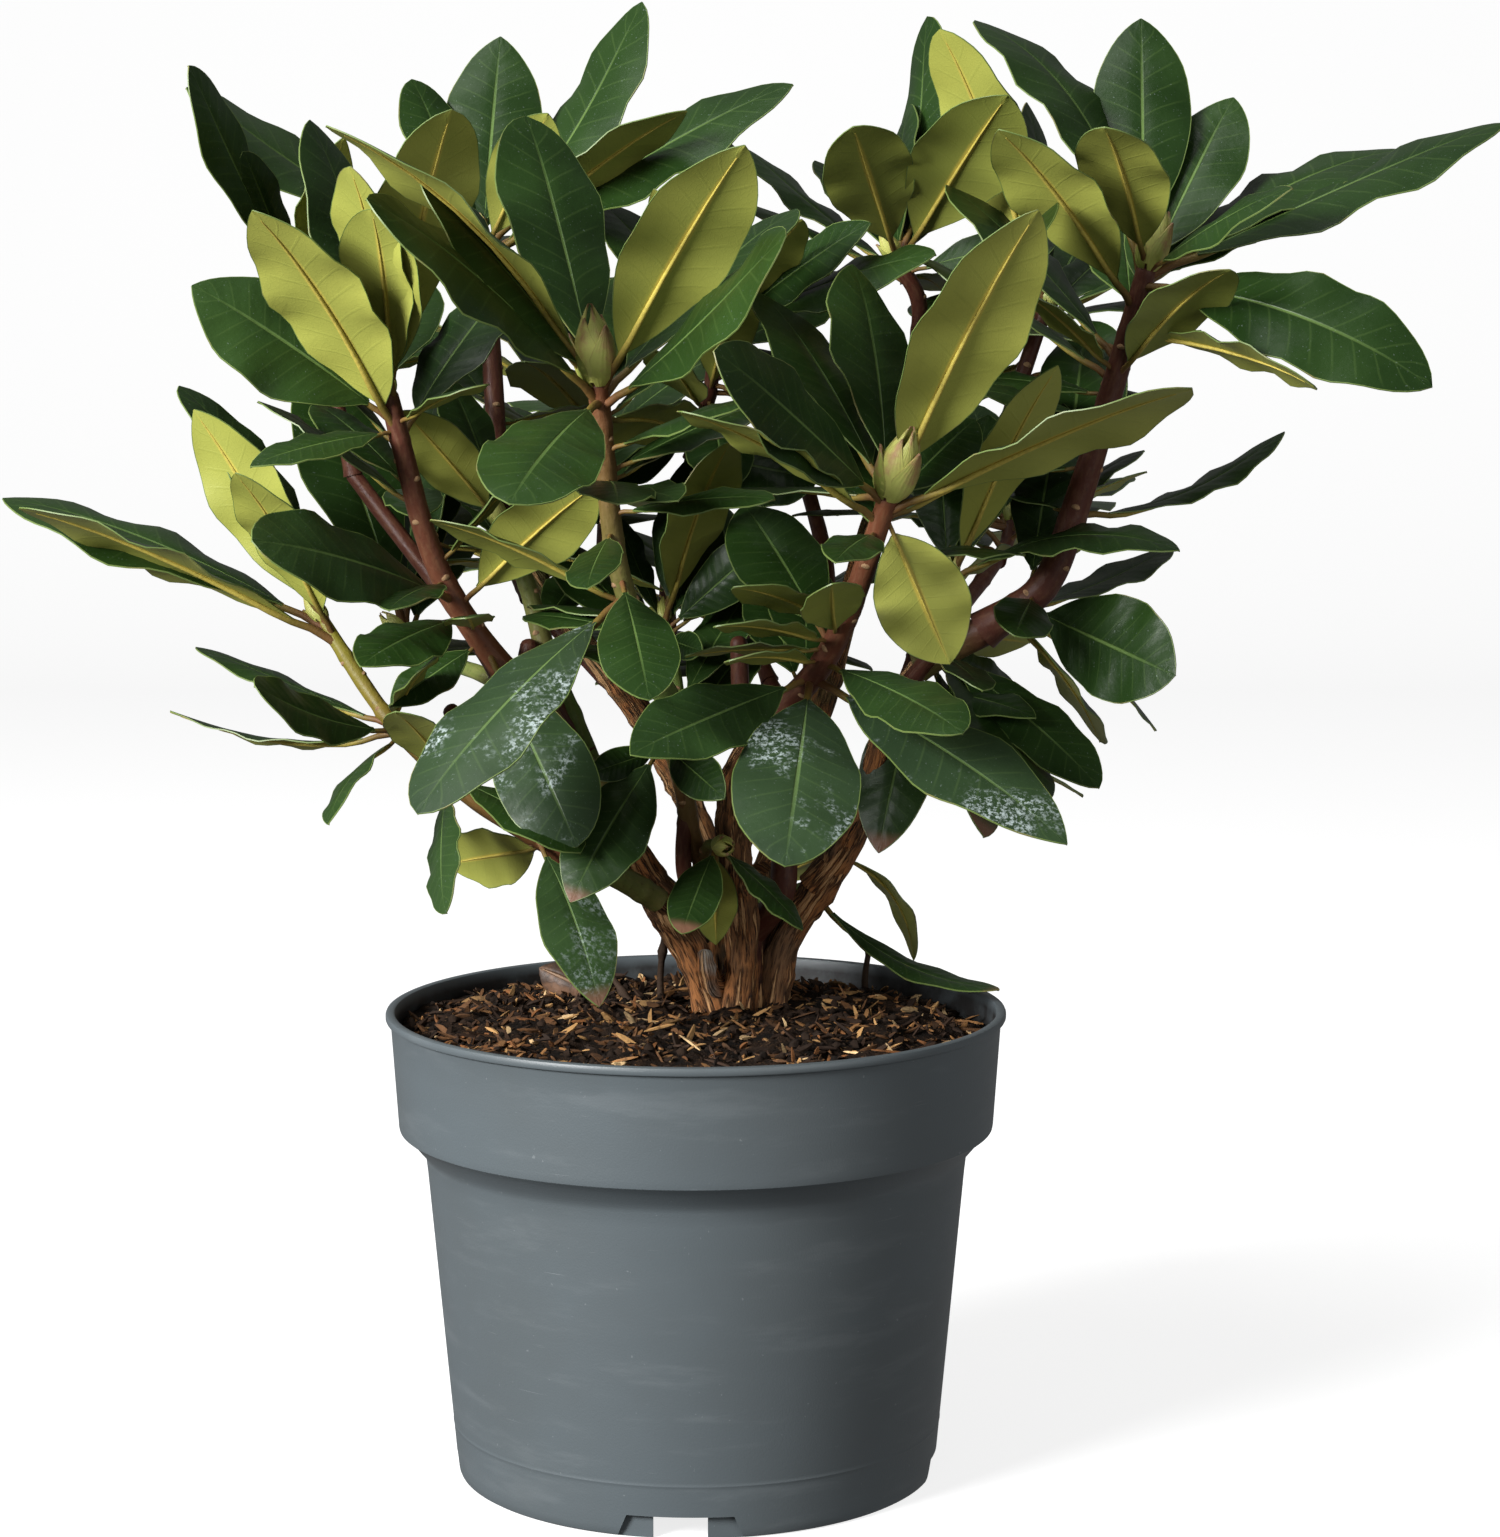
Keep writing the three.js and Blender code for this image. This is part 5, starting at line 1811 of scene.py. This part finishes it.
@dataclass
class Limbs:
    """Trunk, boughs and stems, the scars of fallen leaves and the stubs of cut shoots.

    Attributes:
        scars_apart: Millimetres from scar to scar.
        scar: Half width and half height of a scar, and how far it stands out.
    """

    wood: Wood
    scars_apart: float = 7.5
    scar: Place = (1.7, 1.05, 0.55)
    cork: Colour = (0.27, 0.165, 0.085)

    def build(self) -> None:
        """Makes and dresses the wood."""
        old = [self.wood.skin("trunk", 44, 1.5, 1)]
        old += [self.wood.skin(name, 28, 0.95, k + 2) for k, name in enumerate(OLD_WOOD)]
        old += [self.wood.skin(name + "_foot", 40, 1.5, k + 9) for k, name in enumerate(CROWN_STEMS)]
        old.append(self.wood.skin("stub_scar", 22, 1.6, 31))
        Surface.join(old).piece("old_wood", [Bark().make()], "bark", ["trunk", *OLD_WOOD])
        young = [name for name in BOUGHS if name not in OLD_WOOD]
        skin = ShootSkin().make()
        parts = [self.wood.skin(name, 16, 0.28, k + 20) for k, name in enumerate(young)]
        Surface.join(parts).piece("young_wood", [skin], "bark", young)
        parts = [self.wood.skin(name, 14, 0.2, k + 50)
                 for k, name in enumerate([*SHOOTS, *STUBS]) if name != "stub_scar"]
        Surface.join(parts).piece("stems", [skin], "foliage", [])
        self._scars().piece("leaf_scars", [Painted("scar_cork", 0.8, 300.0).make()], "bark", [])

    def _scars(self) -> Surface:
        """Low shield-shaped bumps on the stems: domes whose outline is a circle with a drawn-out lower end.

        Returns:
            Their surface.
        """
        broad, tall, proud = self.scar
        ring, turn = np.meshgrid(np.array([1.0, 0.72, 0.35, 0.04]), round_about(10),
                                 indexing="ij")
        wide, high = ring * np.cos(turn) * broad, ring * np.sin(turn) * (1.0 + 0.25 * np.sin(turn)) * tall
        dome = proud * np.sqrt(np.clip(1 - ring ** 2, 0, 1)) - 0.15
        parts = []
        for order, name in enumerate(SHOOTS):
            line = self.wood.lines[name]
            foot, tip = self.wood.radii[name]
            for k in range(int(line.length * 0.85 / self.scars_apart)):
                share = 0.1 + k * self.scars_apart / line.length
                if share > 0.97:
                    break
                here, next_ = line.at(share), line.at(min(1.0, share + 0.02))
                along = (next_ - here) / max(1e-9, np.linalg.norm(next_ - here))
                turn_out = GOLDEN_ANGLE * k + order
                side = np.cross(along, (0.0, 1.0, 0.0))
                side /= np.linalg.norm(side)
                out = side * math.cos(turn_out) + np.cross(side, along) * math.sin(turn_out)
                across = np.cross(out, along)
                radius = foot + (tip - foot) * share
                curved = dome - (wide ** 2) / (2 * radius)
                places = (here + out * (radius + curved)[..., None] + across * wide[..., None]
                          + along * high[..., None])
                pale = 0.75 + 0.5 * ((k * GOLDEN) % 1)
                colour = [*(c * pale for c in self.cork), 1.0]
                parts.append(tube(places, np.arange(4.0), np.tile(colour, (4, 1))))
        return Surface.join(parts)


# ------------------------ pot and compost


@dataclass
class Pot:
    """A round nursery pot: tapered wall, deep band under a rolled rim, notched foot and drain holes.

    Attributes:
        bead: Height of the rim's bead.
        band_foot: Height of the band's lower edge.
        shoulder: Height of the wall's upper end.
        floor: Height of the floor's underside and top.
        mould_line: Height of the fine ridge near the foot.
        notch_turn: Where the first notch is, in degrees.
        notch_size: Width and height of a notch.
        tab: Width and depth of the recess on either side of it.
        drain: Radius of a drain hole and its distance from the axis.
    """

    height: float = 174.7
    rim_radius: float = 115.0
    bead: float = 3.2
    band_foot: float = 132.0
    band_radius: float = 110.5
    shoulder: float = 123.5
    shoulder_radius: float = 100.8
    foot_radius: float = 89.5
    wall: float = 1.8
    floor: tuple[float, float] = (9.0, 11.5)
    mould_line: float = 20.0
    sides: int = 200
    notches: int = 4
    notch_turn: float = -93.0
    notch_size: tuple[float, float] = (19.4, 8.6)
    tab: tuple[float, float] = (14.0, 2.0)
    drain: tuple[float, float] = (5.0, 62.0)

    def _profile(self) -> Array:
        """The section, from the middle of the underside to the middle of the floor.

        Returns:
            (n, 2) radii and heights.
        """
        band_slope = (self.rim_radius - 1.6 - self.band_radius) / (self.height - self.band_foot)
        slope = (self.shoulder_radius - self.foot_radius) / self.shoulder
        top = self.height

        def wall(z: float, proud: float = 0.0) -> tuple[float, float]:
            """A point on the wall, proud millimetres out."""
            return self.foot_radius + slope * z + proud, z

        def band(z: float, proud: float = 0.0) -> tuple[float, float]:
            """A point on the band, proud millimetres out."""
            return self.band_radius + band_slope * (z - self.band_foot) + proud, z

        rim, foot, line, under = self.rim_radius, self.foot_radius, self.mould_line, self.floor[0]
        edge = top - self.bead
        outer = [
            (0.05, under), (foot - 3.4, under), (foot - 3, under - 0.6), (foot - 3, 0.5), (foot - 2.6, 0),
            (foot - 2.2, 0), (foot - 1.4, 0.3), wall(0.9, -0.5), wall(2.2, -0.1), wall(4), wall(8),
            wall(line - 1.4), wall(line - 0.4), wall(line - 0.1, 0.12), wall(line + 0.1, 0.12),
            wall(line + 0.4), wall(line + 1.4), wall(45), wall(70), wall(95), wall(115),
            wall(120.5, 0.15), wall(122.6, 0.9), (self.shoulder_radius + 2.6, self.shoulder + 1.0),
            (self.band_radius - 3, 129.4), (self.band_radius - 1.2, 130.4),
            (self.band_radius - 0.2, 131.2), band(132.3), band(134), band(145), band(158),
            band(edge - 1.0), band(edge - 0.3, 0.2), (rim - 0.9, edge), (rim - 0.25, edge + 0.35),
            (rim, edge + 0.9), (rim, top - 1.0), (rim - 0.3, top - 0.3), (rim - 0.9, top),
            (rim - 2.6, top), (rim - 3.2, top - 0.25), (rim - 3.5, top - 0.9),
        ]
        inner = [
            band(top - 4.5, -self.wall), band(158, -self.wall), band(134, -self.wall),
            (self.band_radius - 2.4, 131.8), (self.shoulder_radius + 0.2, self.shoulder + 1.8),
            wall(122.5, -self.wall), wall(60, -self.wall), wall(14, -self.wall),
            wall(12, -self.wall - 0.9), (foot - 5, self.floor[1]), (0.05, self.floor[1]),
        ]
        return np.array(outer + inner)

    def _spun(self, points: Array, turn: float) -> Array:
        """Points turned about the pot's axis by so many degrees."""
        c, s = math.cos(math.radians(turn)), math.sin(math.radians(turn))
        return points @ np.array([[c, s, 0], [-s, c, 0], [0, 0, 1]])

    def _cutter(self, corners: Array, turn: float) -> Surface:
        """A box-like cutter, turned about the pot's axis.

        Args:
            corners: Its eight corners, as _box lists them.
            turn: Degrees.

        Returns:
            The cutter.
        """
        faces = np.array([[0, 3, 2, 1], [4, 5, 6, 7], [0, 1, 5, 4], [1, 2, 6, 5], [2, 3, 7, 6], [3, 0, 4, 7]])
        blank, none = np.zeros((6, 4, 2)), np.zeros(6, int)
        return Surface(self._spun(corners, turn), faces, blank, blank, none, none, np.ones((8, 4)))

    def _notch(self, turn: float) -> list[Surface]:
        """What is cut away at one notch: the slot, the tapered recesses beside it and the drain hole.

        Args:
            turn: Where the notch is, in degrees.

        Returns:
            The cutters.
        """
        wide, high = self.notch_size[0] / 2, self.notch_size[1]
        half, deep = self.tab[0] / 2, self.tab[1]
        inner, outer, low = self.foot_radius, self.foot_radius + 8, -4
        cutters = [self._cutter(_box(inner - 8, outer, -wide, wide, low, high), turn)]
        aside = math.degrees((wide + half) / self.foot_radius)
        for side in (-1, 1):
            recess = _box(inner - deep, outer, -half - 1, half + 1, low, high)
            recess[4:, 1] -= np.where(recess[4:, 1] * side > 0, side * 0.4 * self.tab[0], 0.0)
            cutters.append(self._cutter(recess, turn + side * aside))
        radius, circle = self.drain
        angle = round_about(24)
        ring = np.stack([circle + radius * np.cos(angle), radius * np.sin(angle), 0 * angle], 1)
        ring = self._spun(ring, turn)
        rings = np.stack([ring + (0, 0, self.floor[1] + 3), ring + (0, 0, self.floor[0] - 3)])
        return [*cutters, tube(rings, np.arange(2.0), np.ones((2, 4)))]

    def build(self) -> None:
        """Turns the profile about the axis, cuts the foot and dresses the pot."""
        profile = self._profile()
        turn = round_about(self.sides)
        ring = np.stack([profile[:, :1] * np.cos(turn), profile[:, :1] * np.sin(turn),
                         np.repeat(profile[:, 1:], self.sides, 1)], -1)
        steps = np.linalg.norm(np.diff(profile, axis=0), axis=1)
        distance = np.concatenate([[0.0], np.cumsum(steps)])
        # 1 for the outer surface's rows; the inner wall and floor get 0, which the pot's material darkens as
        # painted shade.
        unshaded = np.arange(len(profile)) <= profile[:, 1].argmax() + 3
        pot = tube(ring[:, ::-1], distance, np.repeat(unshaded[:, None] * 1.0, 4, 1))
        pot.faces = pot.faces[:, ::-1]
        pot.lay, pot.bake = pot.lay[:, ::-1], pot.bake[:, ::-1]
        body = pot.piece("pot_body", [PotPlastic().make()], "pot_plastic", ["pot"], 28.0)
        cuts = [self.notch_turn + k * 360 / self.notches for k in range(self.notches)]
        cutter = Surface.join([part for cut in cuts for part in self._notch(cut)]).piece(
            "pot_cutter", [], "pot_plastic", [])
        step = body.modifiers.new("foot", "BOOLEAN")
        step.operation, step.solver, step.object = "DIFFERENCE", "EXACT", cutter
        step.use_self = True
        depsgraph = bpy.context.evaluated_depsgraph_get()
        body.data = bpy.data.meshes.new_from_object(body.evaluated_get(depsgraph), depsgraph=depsgraph)
        body.modifiers.clear()
        bpy.data.objects.remove(cutter)
        body.data.set_sharp_from_angle(angle=math.radians(28.0))


def _box(x0: float, x1: float, y0: float, y1: float, z0: float, z1: float) -> Array:
    """Eight corners of a box: the lower four round, then the upper four."""
    low = [(x0, y0), (x1, y0), (x1, y1), (x0, y1)]
    return np.array([(*c, z0) for c in low] + [(*c, z1) for c in low], float)


@dataclass
class Bed:
    """The compost, heaped round the root crown and higher on the left, with what lies on it.

    Attributes:
        crown: Height at the root crown.
        edge: Height at the wall.
        crown_radius: Radius that the crown's height reaches to.
        tilt: Rise per millimetre towards the right.
        lumps: Height, size and seed of each kind of lump.
        mound: Height and radius of the heap round the root crown.
    """

    crown: float = 170.4
    edge: float = 165.8
    crown_radius: float = 62.0
    tilt: float = -0.02
    reach: float = 110.2
    chips: int = 2400
    crumbs: int = 900
    lumps: tuple[tuple[float, float, int], ...] = ((4.4, 17, 1), (3.8, 7, 2), (2.4, 3.1, 3), (1.0, 1.4, 4))
    mound: tuple[float, float] = (2.2, 34.0)

    def level(self, x: Array, y: Array) -> Array:
        """Height of the compost: a cone between the crown and the tilted edge, with four sizes of lumps.

        Args:
            x: First coordinates.
            y: Second coordinates.

        Returns:
            The heights.
        """
        r = np.hypot(x, y)
        out = np.clip((r - self.crown_radius) / (self.reach - self.crown_radius), 0, 1)
        base = self.crown + (self.edge - self.crown + self.tilt * x) * out
        lumps = sum(depth * (value_noise(x / size + 31, y / size + 17, seed) - 0.5)
                    for depth, size, seed in self.lumps)
        high, wide = self.mound
        mound = high * np.exp(-((x - ROOT_CROWN[0][0]) ** 2 + (y - ROOT_CROWN[0][1]) ** 2) / wide ** 2)
        return base + lumps * (1 - 0.5 * out ** 6) + mound

    def _bed(self) -> Surface:
        """The compost as rings of points from the middle to the wall, and then down beside it.

        Returns:
            The surface.
        """
        radius = np.concatenate([np.linspace(1.0, self.reach, 86), [self.reach, self.reach - 3]])
        turn = round_about(240)
        x, y = radius[:, None] * np.cos(turn), radius[:, None] * np.sin(turn)
        z = self.level(x, y)
        z[-2], z[-1] = 150.0, 136.0
        distance = np.concatenate([[0.0], np.cumsum(np.abs(np.diff(radius)))])
        return tube(np.stack([x, y, z], -1), distance, np.ones((len(radius), 4)))

    def _scatter(self, count: int, draw: np.random.Generator) -> tuple[Array, Array, Array]:
        """Even spots on the compost.

        Args:
            count: How many.
            draw: Where they are drawn from.

        Returns:
            Their three coordinates.
        """
        r = (self.reach - 4) * np.sqrt(draw.uniform(0.0, 1.0, count))
        turn = draw.uniform(0, TURN, count)
        x, y = r * np.cos(turn), r * np.sin(turn)
        return x, y, self.level(x, y)

    def _slivers(self) -> Surface:
        """Wood chips and fibres: bent splinters with four sides that narrow to their ends, lying about.

        Returns:
            Their surface.
        """
        draw, count = np.random.default_rng(7), self.chips
        x, y, z = self._scatter(count, draw)
        long = 1.5 + 4.6 * draw.random(count) ** 2.4
        wide = long * draw.uniform(0.1, 0.4, count)
        thick = np.minimum(wide, draw.uniform(0.35, 0.9, count))
        heading = draw.uniform(0, TURN, count)
        rise, roll = draw.normal(0, 0.42, count), draw.normal(0, 0.6, count)
        along, flat = pointing(heading, rise)
        across = flat * np.cos(roll)[:, None] + np.cross(along, flat) * np.sin(roll)[:, None]
        up = np.cross(along, across)
        s = np.array([-1.0, -0.55, 0.1, 0.6, 1.0])
        swell = np.array([0.35, 0.85, 1.0, 0.8, 0.3])
        angle = np.array([0.25, 0.75, 1.25, 1.75]) * math.pi
        bend = draw.uniform(-0.25, 0.25, count)[:, None] * (s ** 2)[None] * long[:, None]
        middle = np.stack([x, y, z + 0.35 * thick + 0.2], 1)
        half, high = (wide[:, None] * swell)[..., None], (thick[:, None] * swell)[..., None]
        places = (middle[:, None, None] + along[:, None, None] * (long[:, None] * s)[..., None, None]
                  + across[:, None, None] * (bend[..., None] + half * np.cos(angle))[..., None]
                  + up[:, None, None] * (high * np.sin(angle))[..., None])
        tones = np.array([(0.36, 0.2, 0.075), (0.24, 0.115, 0.04), (0.56, 0.38, 0.19),
                          (0.11, 0.05, 0.019), (0.03, 0.015, 0.008), (0.2, 0.08, 0.026)])
        picked = tones[draw.choice(len(tones), count, p=(0.11, 0.13, 0.04, 0.26, 0.34, 0.12))]
        picked = picked * draw.uniform(0.4, 1.05, (count, 1))
        parts = [tube(places[k][:, ::-1], s, np.tile([*picked[k], 1.0], (5, 1))) for k in range(count)]
        return Surface.join(parts)

    def _crumbs(self) -> Surface:
        """Crumbs of peat: small balls with dented sides.

        Returns:
            Their surface.
        """
        draw = np.random.default_rng(11)
        x, y, z = self._scatter(self.crumbs, draw)
        pole = np.array([0.12, 0.38, 0.62, 0.88]) * math.pi
        turn = round_about(6)
        size = 0.6 + 1.7 * draw.random(self.crumbs) ** 2.5
        dent = draw.uniform(0.65, 1.2, (self.crumbs, 4, 6))
        r = size[:, None, None] * dent
        ring = np.stack([r * np.sin(pole)[:, None] * np.cos(turn), r * np.sin(pole)[:, None] * np.sin(turn),
                         -0.8 * r * np.cos(pole)[:, None] * np.ones(6)], -1)
        ring += np.stack([x, y, z + 0.3 * size], 1)[:, None, None]
        dark = draw.uniform(0.25, 1.2, self.crumbs)[:, None] * np.array([0.016, 0.0085, 0.0045])
        parts = [tube(ring[k][:, ::-1], np.arange(4.0), np.tile([*dark[k], 1.0], (4, 1)))
                 for k in range(self.crumbs)]
        return Surface.join(parts)

    def _twigs(self) -> Surface:
        """Dead twigs that stand in the compost: thin tubes on smooth lines, each with a swollen knob.

        Returns:
            Their surface.
        """
        paths = [[(66, 70, 160), (65, 71, 172), (67, 72, 186)],
                 [(-13, 25, 164), (-14, 26, 180), (-12, 25, 201)],
                 [(-20, 30, 165), (-27, 33, 172), (-35, 36, 183)],
                 [(3, 24, 195), (6, 20, 208), (11, 16, 213)]]
        share = np.linspace(0, 1, 12)
        turn = round_about(8)
        parts = []
        for k, path in enumerate(paths):
            places = Line([np.array(p) for p in path]).at(share)
            _, across, outward = steady_frames(places)
            radius = 1.5 - 0.5 * share + 0.9 * np.exp(-((share - 0.93 + 0.2 * k) / 0.06) ** 2)
            rings = rings_round(places, across, outward, radius[:, None, None], turn)
            parts.append(tube(rings, share * 20, np.tile([0.04, 0.024, 0.015, 1.0], (12, 1))))
        return Surface.join(parts)

    def _litter(self) -> tuple[Posture, Posture]:
        """A curled dead leaf that leans on the compost, and a green one half under it.

        Returns:
            Their postures.
        """
        dead = Posture.of([np.array([-31.0, 44.0, 166.5]), np.array([-47.0, 33.0, 166.0])],
                          [(0, 168, 24, 34, 62, 0.1, 17), (0, 60, 40, 24, 40, 0.14, 9)],
                          [(0.5, 0, 0, 1)] * 2)
        green = Posture.of([np.array([-34.0, 47.0, 167.0])],
                           [(0, 172, 2, 30, 10, 0.05, 9)], [(0.2, 0.1, 0, 1)])
        return dead, green

    def build(self) -> None:
        """Makes and dresses the compost and what lies on it."""
        self._bed().piece("compost_bed", [Compost().make()], "soil", ["soil"], 180.0)
        self._slivers().piece("wood_chips", [Painted("chip_wood", 0.8, 260.0).make()], "soil", [], 40.0)
        self._crumbs().piece("peat_crumbs", [Painted("peat_crumb", 0.95, 500.0).make()], "soil", [], 60.0)
        self._twigs().piece("dead_twigs", [Painted("twig_bark", 0.8, 300.0).make()], "bark", [], 50.0)
        dead, green = self._litter()
        curled = Blades(rows=14, sides=(0.3, 0.65), curl=0.75, wave=0.22)
        curled.surface(dead).piece("dead_leaf", [DeadLeaf().make()] * 3, "foliage", [])
        fresh = [LeafTop("fallen_top"), LeafUnder("fallen_under"), LeafMargin("fallen_edge")]
        sides = [finish.make() for finish in fresh]
        Blades(rows=10, sides=(0.5,)).surface(green).piece("fallen_leaf", sides, "foliage", [])


@dataclass
class Studio:
    """A pale floor that runs up into a wall, soft light from the left, and the camera.

    Attributes:
        pitch: How far the camera looks down, in degrees.
        far: Where its sight ends.
        daylight: Strength of the even light from all sides.
        lamps: Name, place, size in metres and power in watts of each.
    """

    pitch: float = 6.78
    lens: float = 83.48
    sensor: float = 36.0
    far: float = 50.0
    daylight: float = 0.2
    lamps: tuple[tuple[str, Place, float, float], ...] = (
        ("key", (-1.4, -1.3, 1.0), 0.8, 99.0), ("top", (-0.6, -0.3, 2.0), 1.2, 19.0),
        ("fill", (1.2, -1.6, 0.7), 1.4, 10.0))

    def _sweep(self) -> None:
        """The floor and wall as one sheet whose profile is a line, a quarter circle and a line."""
        bend = np.linspace(0, math.pi / 2, 12)
        y = np.concatenate([[-9.0], 3.0 + np.sin(bend), [4.0]])
        z = np.concatenate([[0.0], 1.0 - np.cos(bend), [6.0]])
        x = np.array([-9.0, 9.0])
        points = np.stack([np.tile(x, len(y)), np.repeat(y, 2), np.repeat(z, 2)], 1)
        mesh = bpy.data.meshes.new("studio_sweep")
        mesh.from_pydata(points.tolist(), [], lattice(len(y), 2, False)[:, ::-1].tolist())
        mesh.shade_smooth()
        mesh.materials.append(Plain("studio_paper", (0.36, 0.36, 0.36), 0.9, 0.8).make())
        sweep = bpy.data.objects.new("studio_sweep", mesh)
        bpy.context.scene.collection.objects.link(sweep)
        sweep.visible_diffuse = sweep.visible_glossy = False

    def _lamp(self, name: str, place: Place, size: float, watts: float) -> None:
        """Adds a round lamp that faces the plant.

        Args:
            name: Its name.
            place: Where it hangs.
            size: Its width.
            watts: Its power.
        """
        light = bpy.data.lights.new(name, "AREA")
        light.shape, light.size, light.energy = "DISK", size, watts
        lamp = bpy.data.objects.new(name, light)
        lamp.location = place
        lamp.rotation_euler = (Vector((0, 0, 0.3)) - Vector(place)).to_track_quat("-Z", "Y").to_euler()
        bpy.context.scene.collection.objects.link(lamp)

    def build(self) -> None:
        """Sets up floor, lights, world and camera."""
        self._sweep()
        for lamp in self.lamps:
            self._lamp(*lamp)
        world = bpy.data.worlds.new("studio_light")
        bpy.context.scene.world = world
        world.use_nodes = True
        back = world.node_tree.nodes["Background"]
        back.inputs["Color"].default_value = (1.0, 1.0, 1.0, 1.0)
        back.inputs["Strength"].default_value = self.daylight
        bpy.context.scene.view_settings.view_transform = "Standard"
        camera = bpy.data.objects.new("camera", bpy.data.cameras.new("camera"))
        camera.data.lens = self.lens
        camera.data.sensor_width = self.sensor
        camera.data.clip_end = self.far
        camera.location = Vector((AXIS + EYE) * MM)
        camera.rotation_euler = (math.radians(90 - self.pitch), 0, 0)
        bpy.context.scene.collection.objects.link(camera)
        bpy.context.scene.camera = camera


def main() -> None:
    """Builds the whole plant, piece by piece, and the studio round it."""
    logging.basicConfig(level=logging.INFO, format="%(name)s: %(message)s")
    Pot().build()
    Bed().build()
    wood = Wood()
    wood.grow()
    Limbs(wood).build()
    foliage = Foliage(wood)
    foliage.grow()
    foliage.build()
    Buds(wood).build()
    Studio().build()


if __name__ == "__main__":
    main()
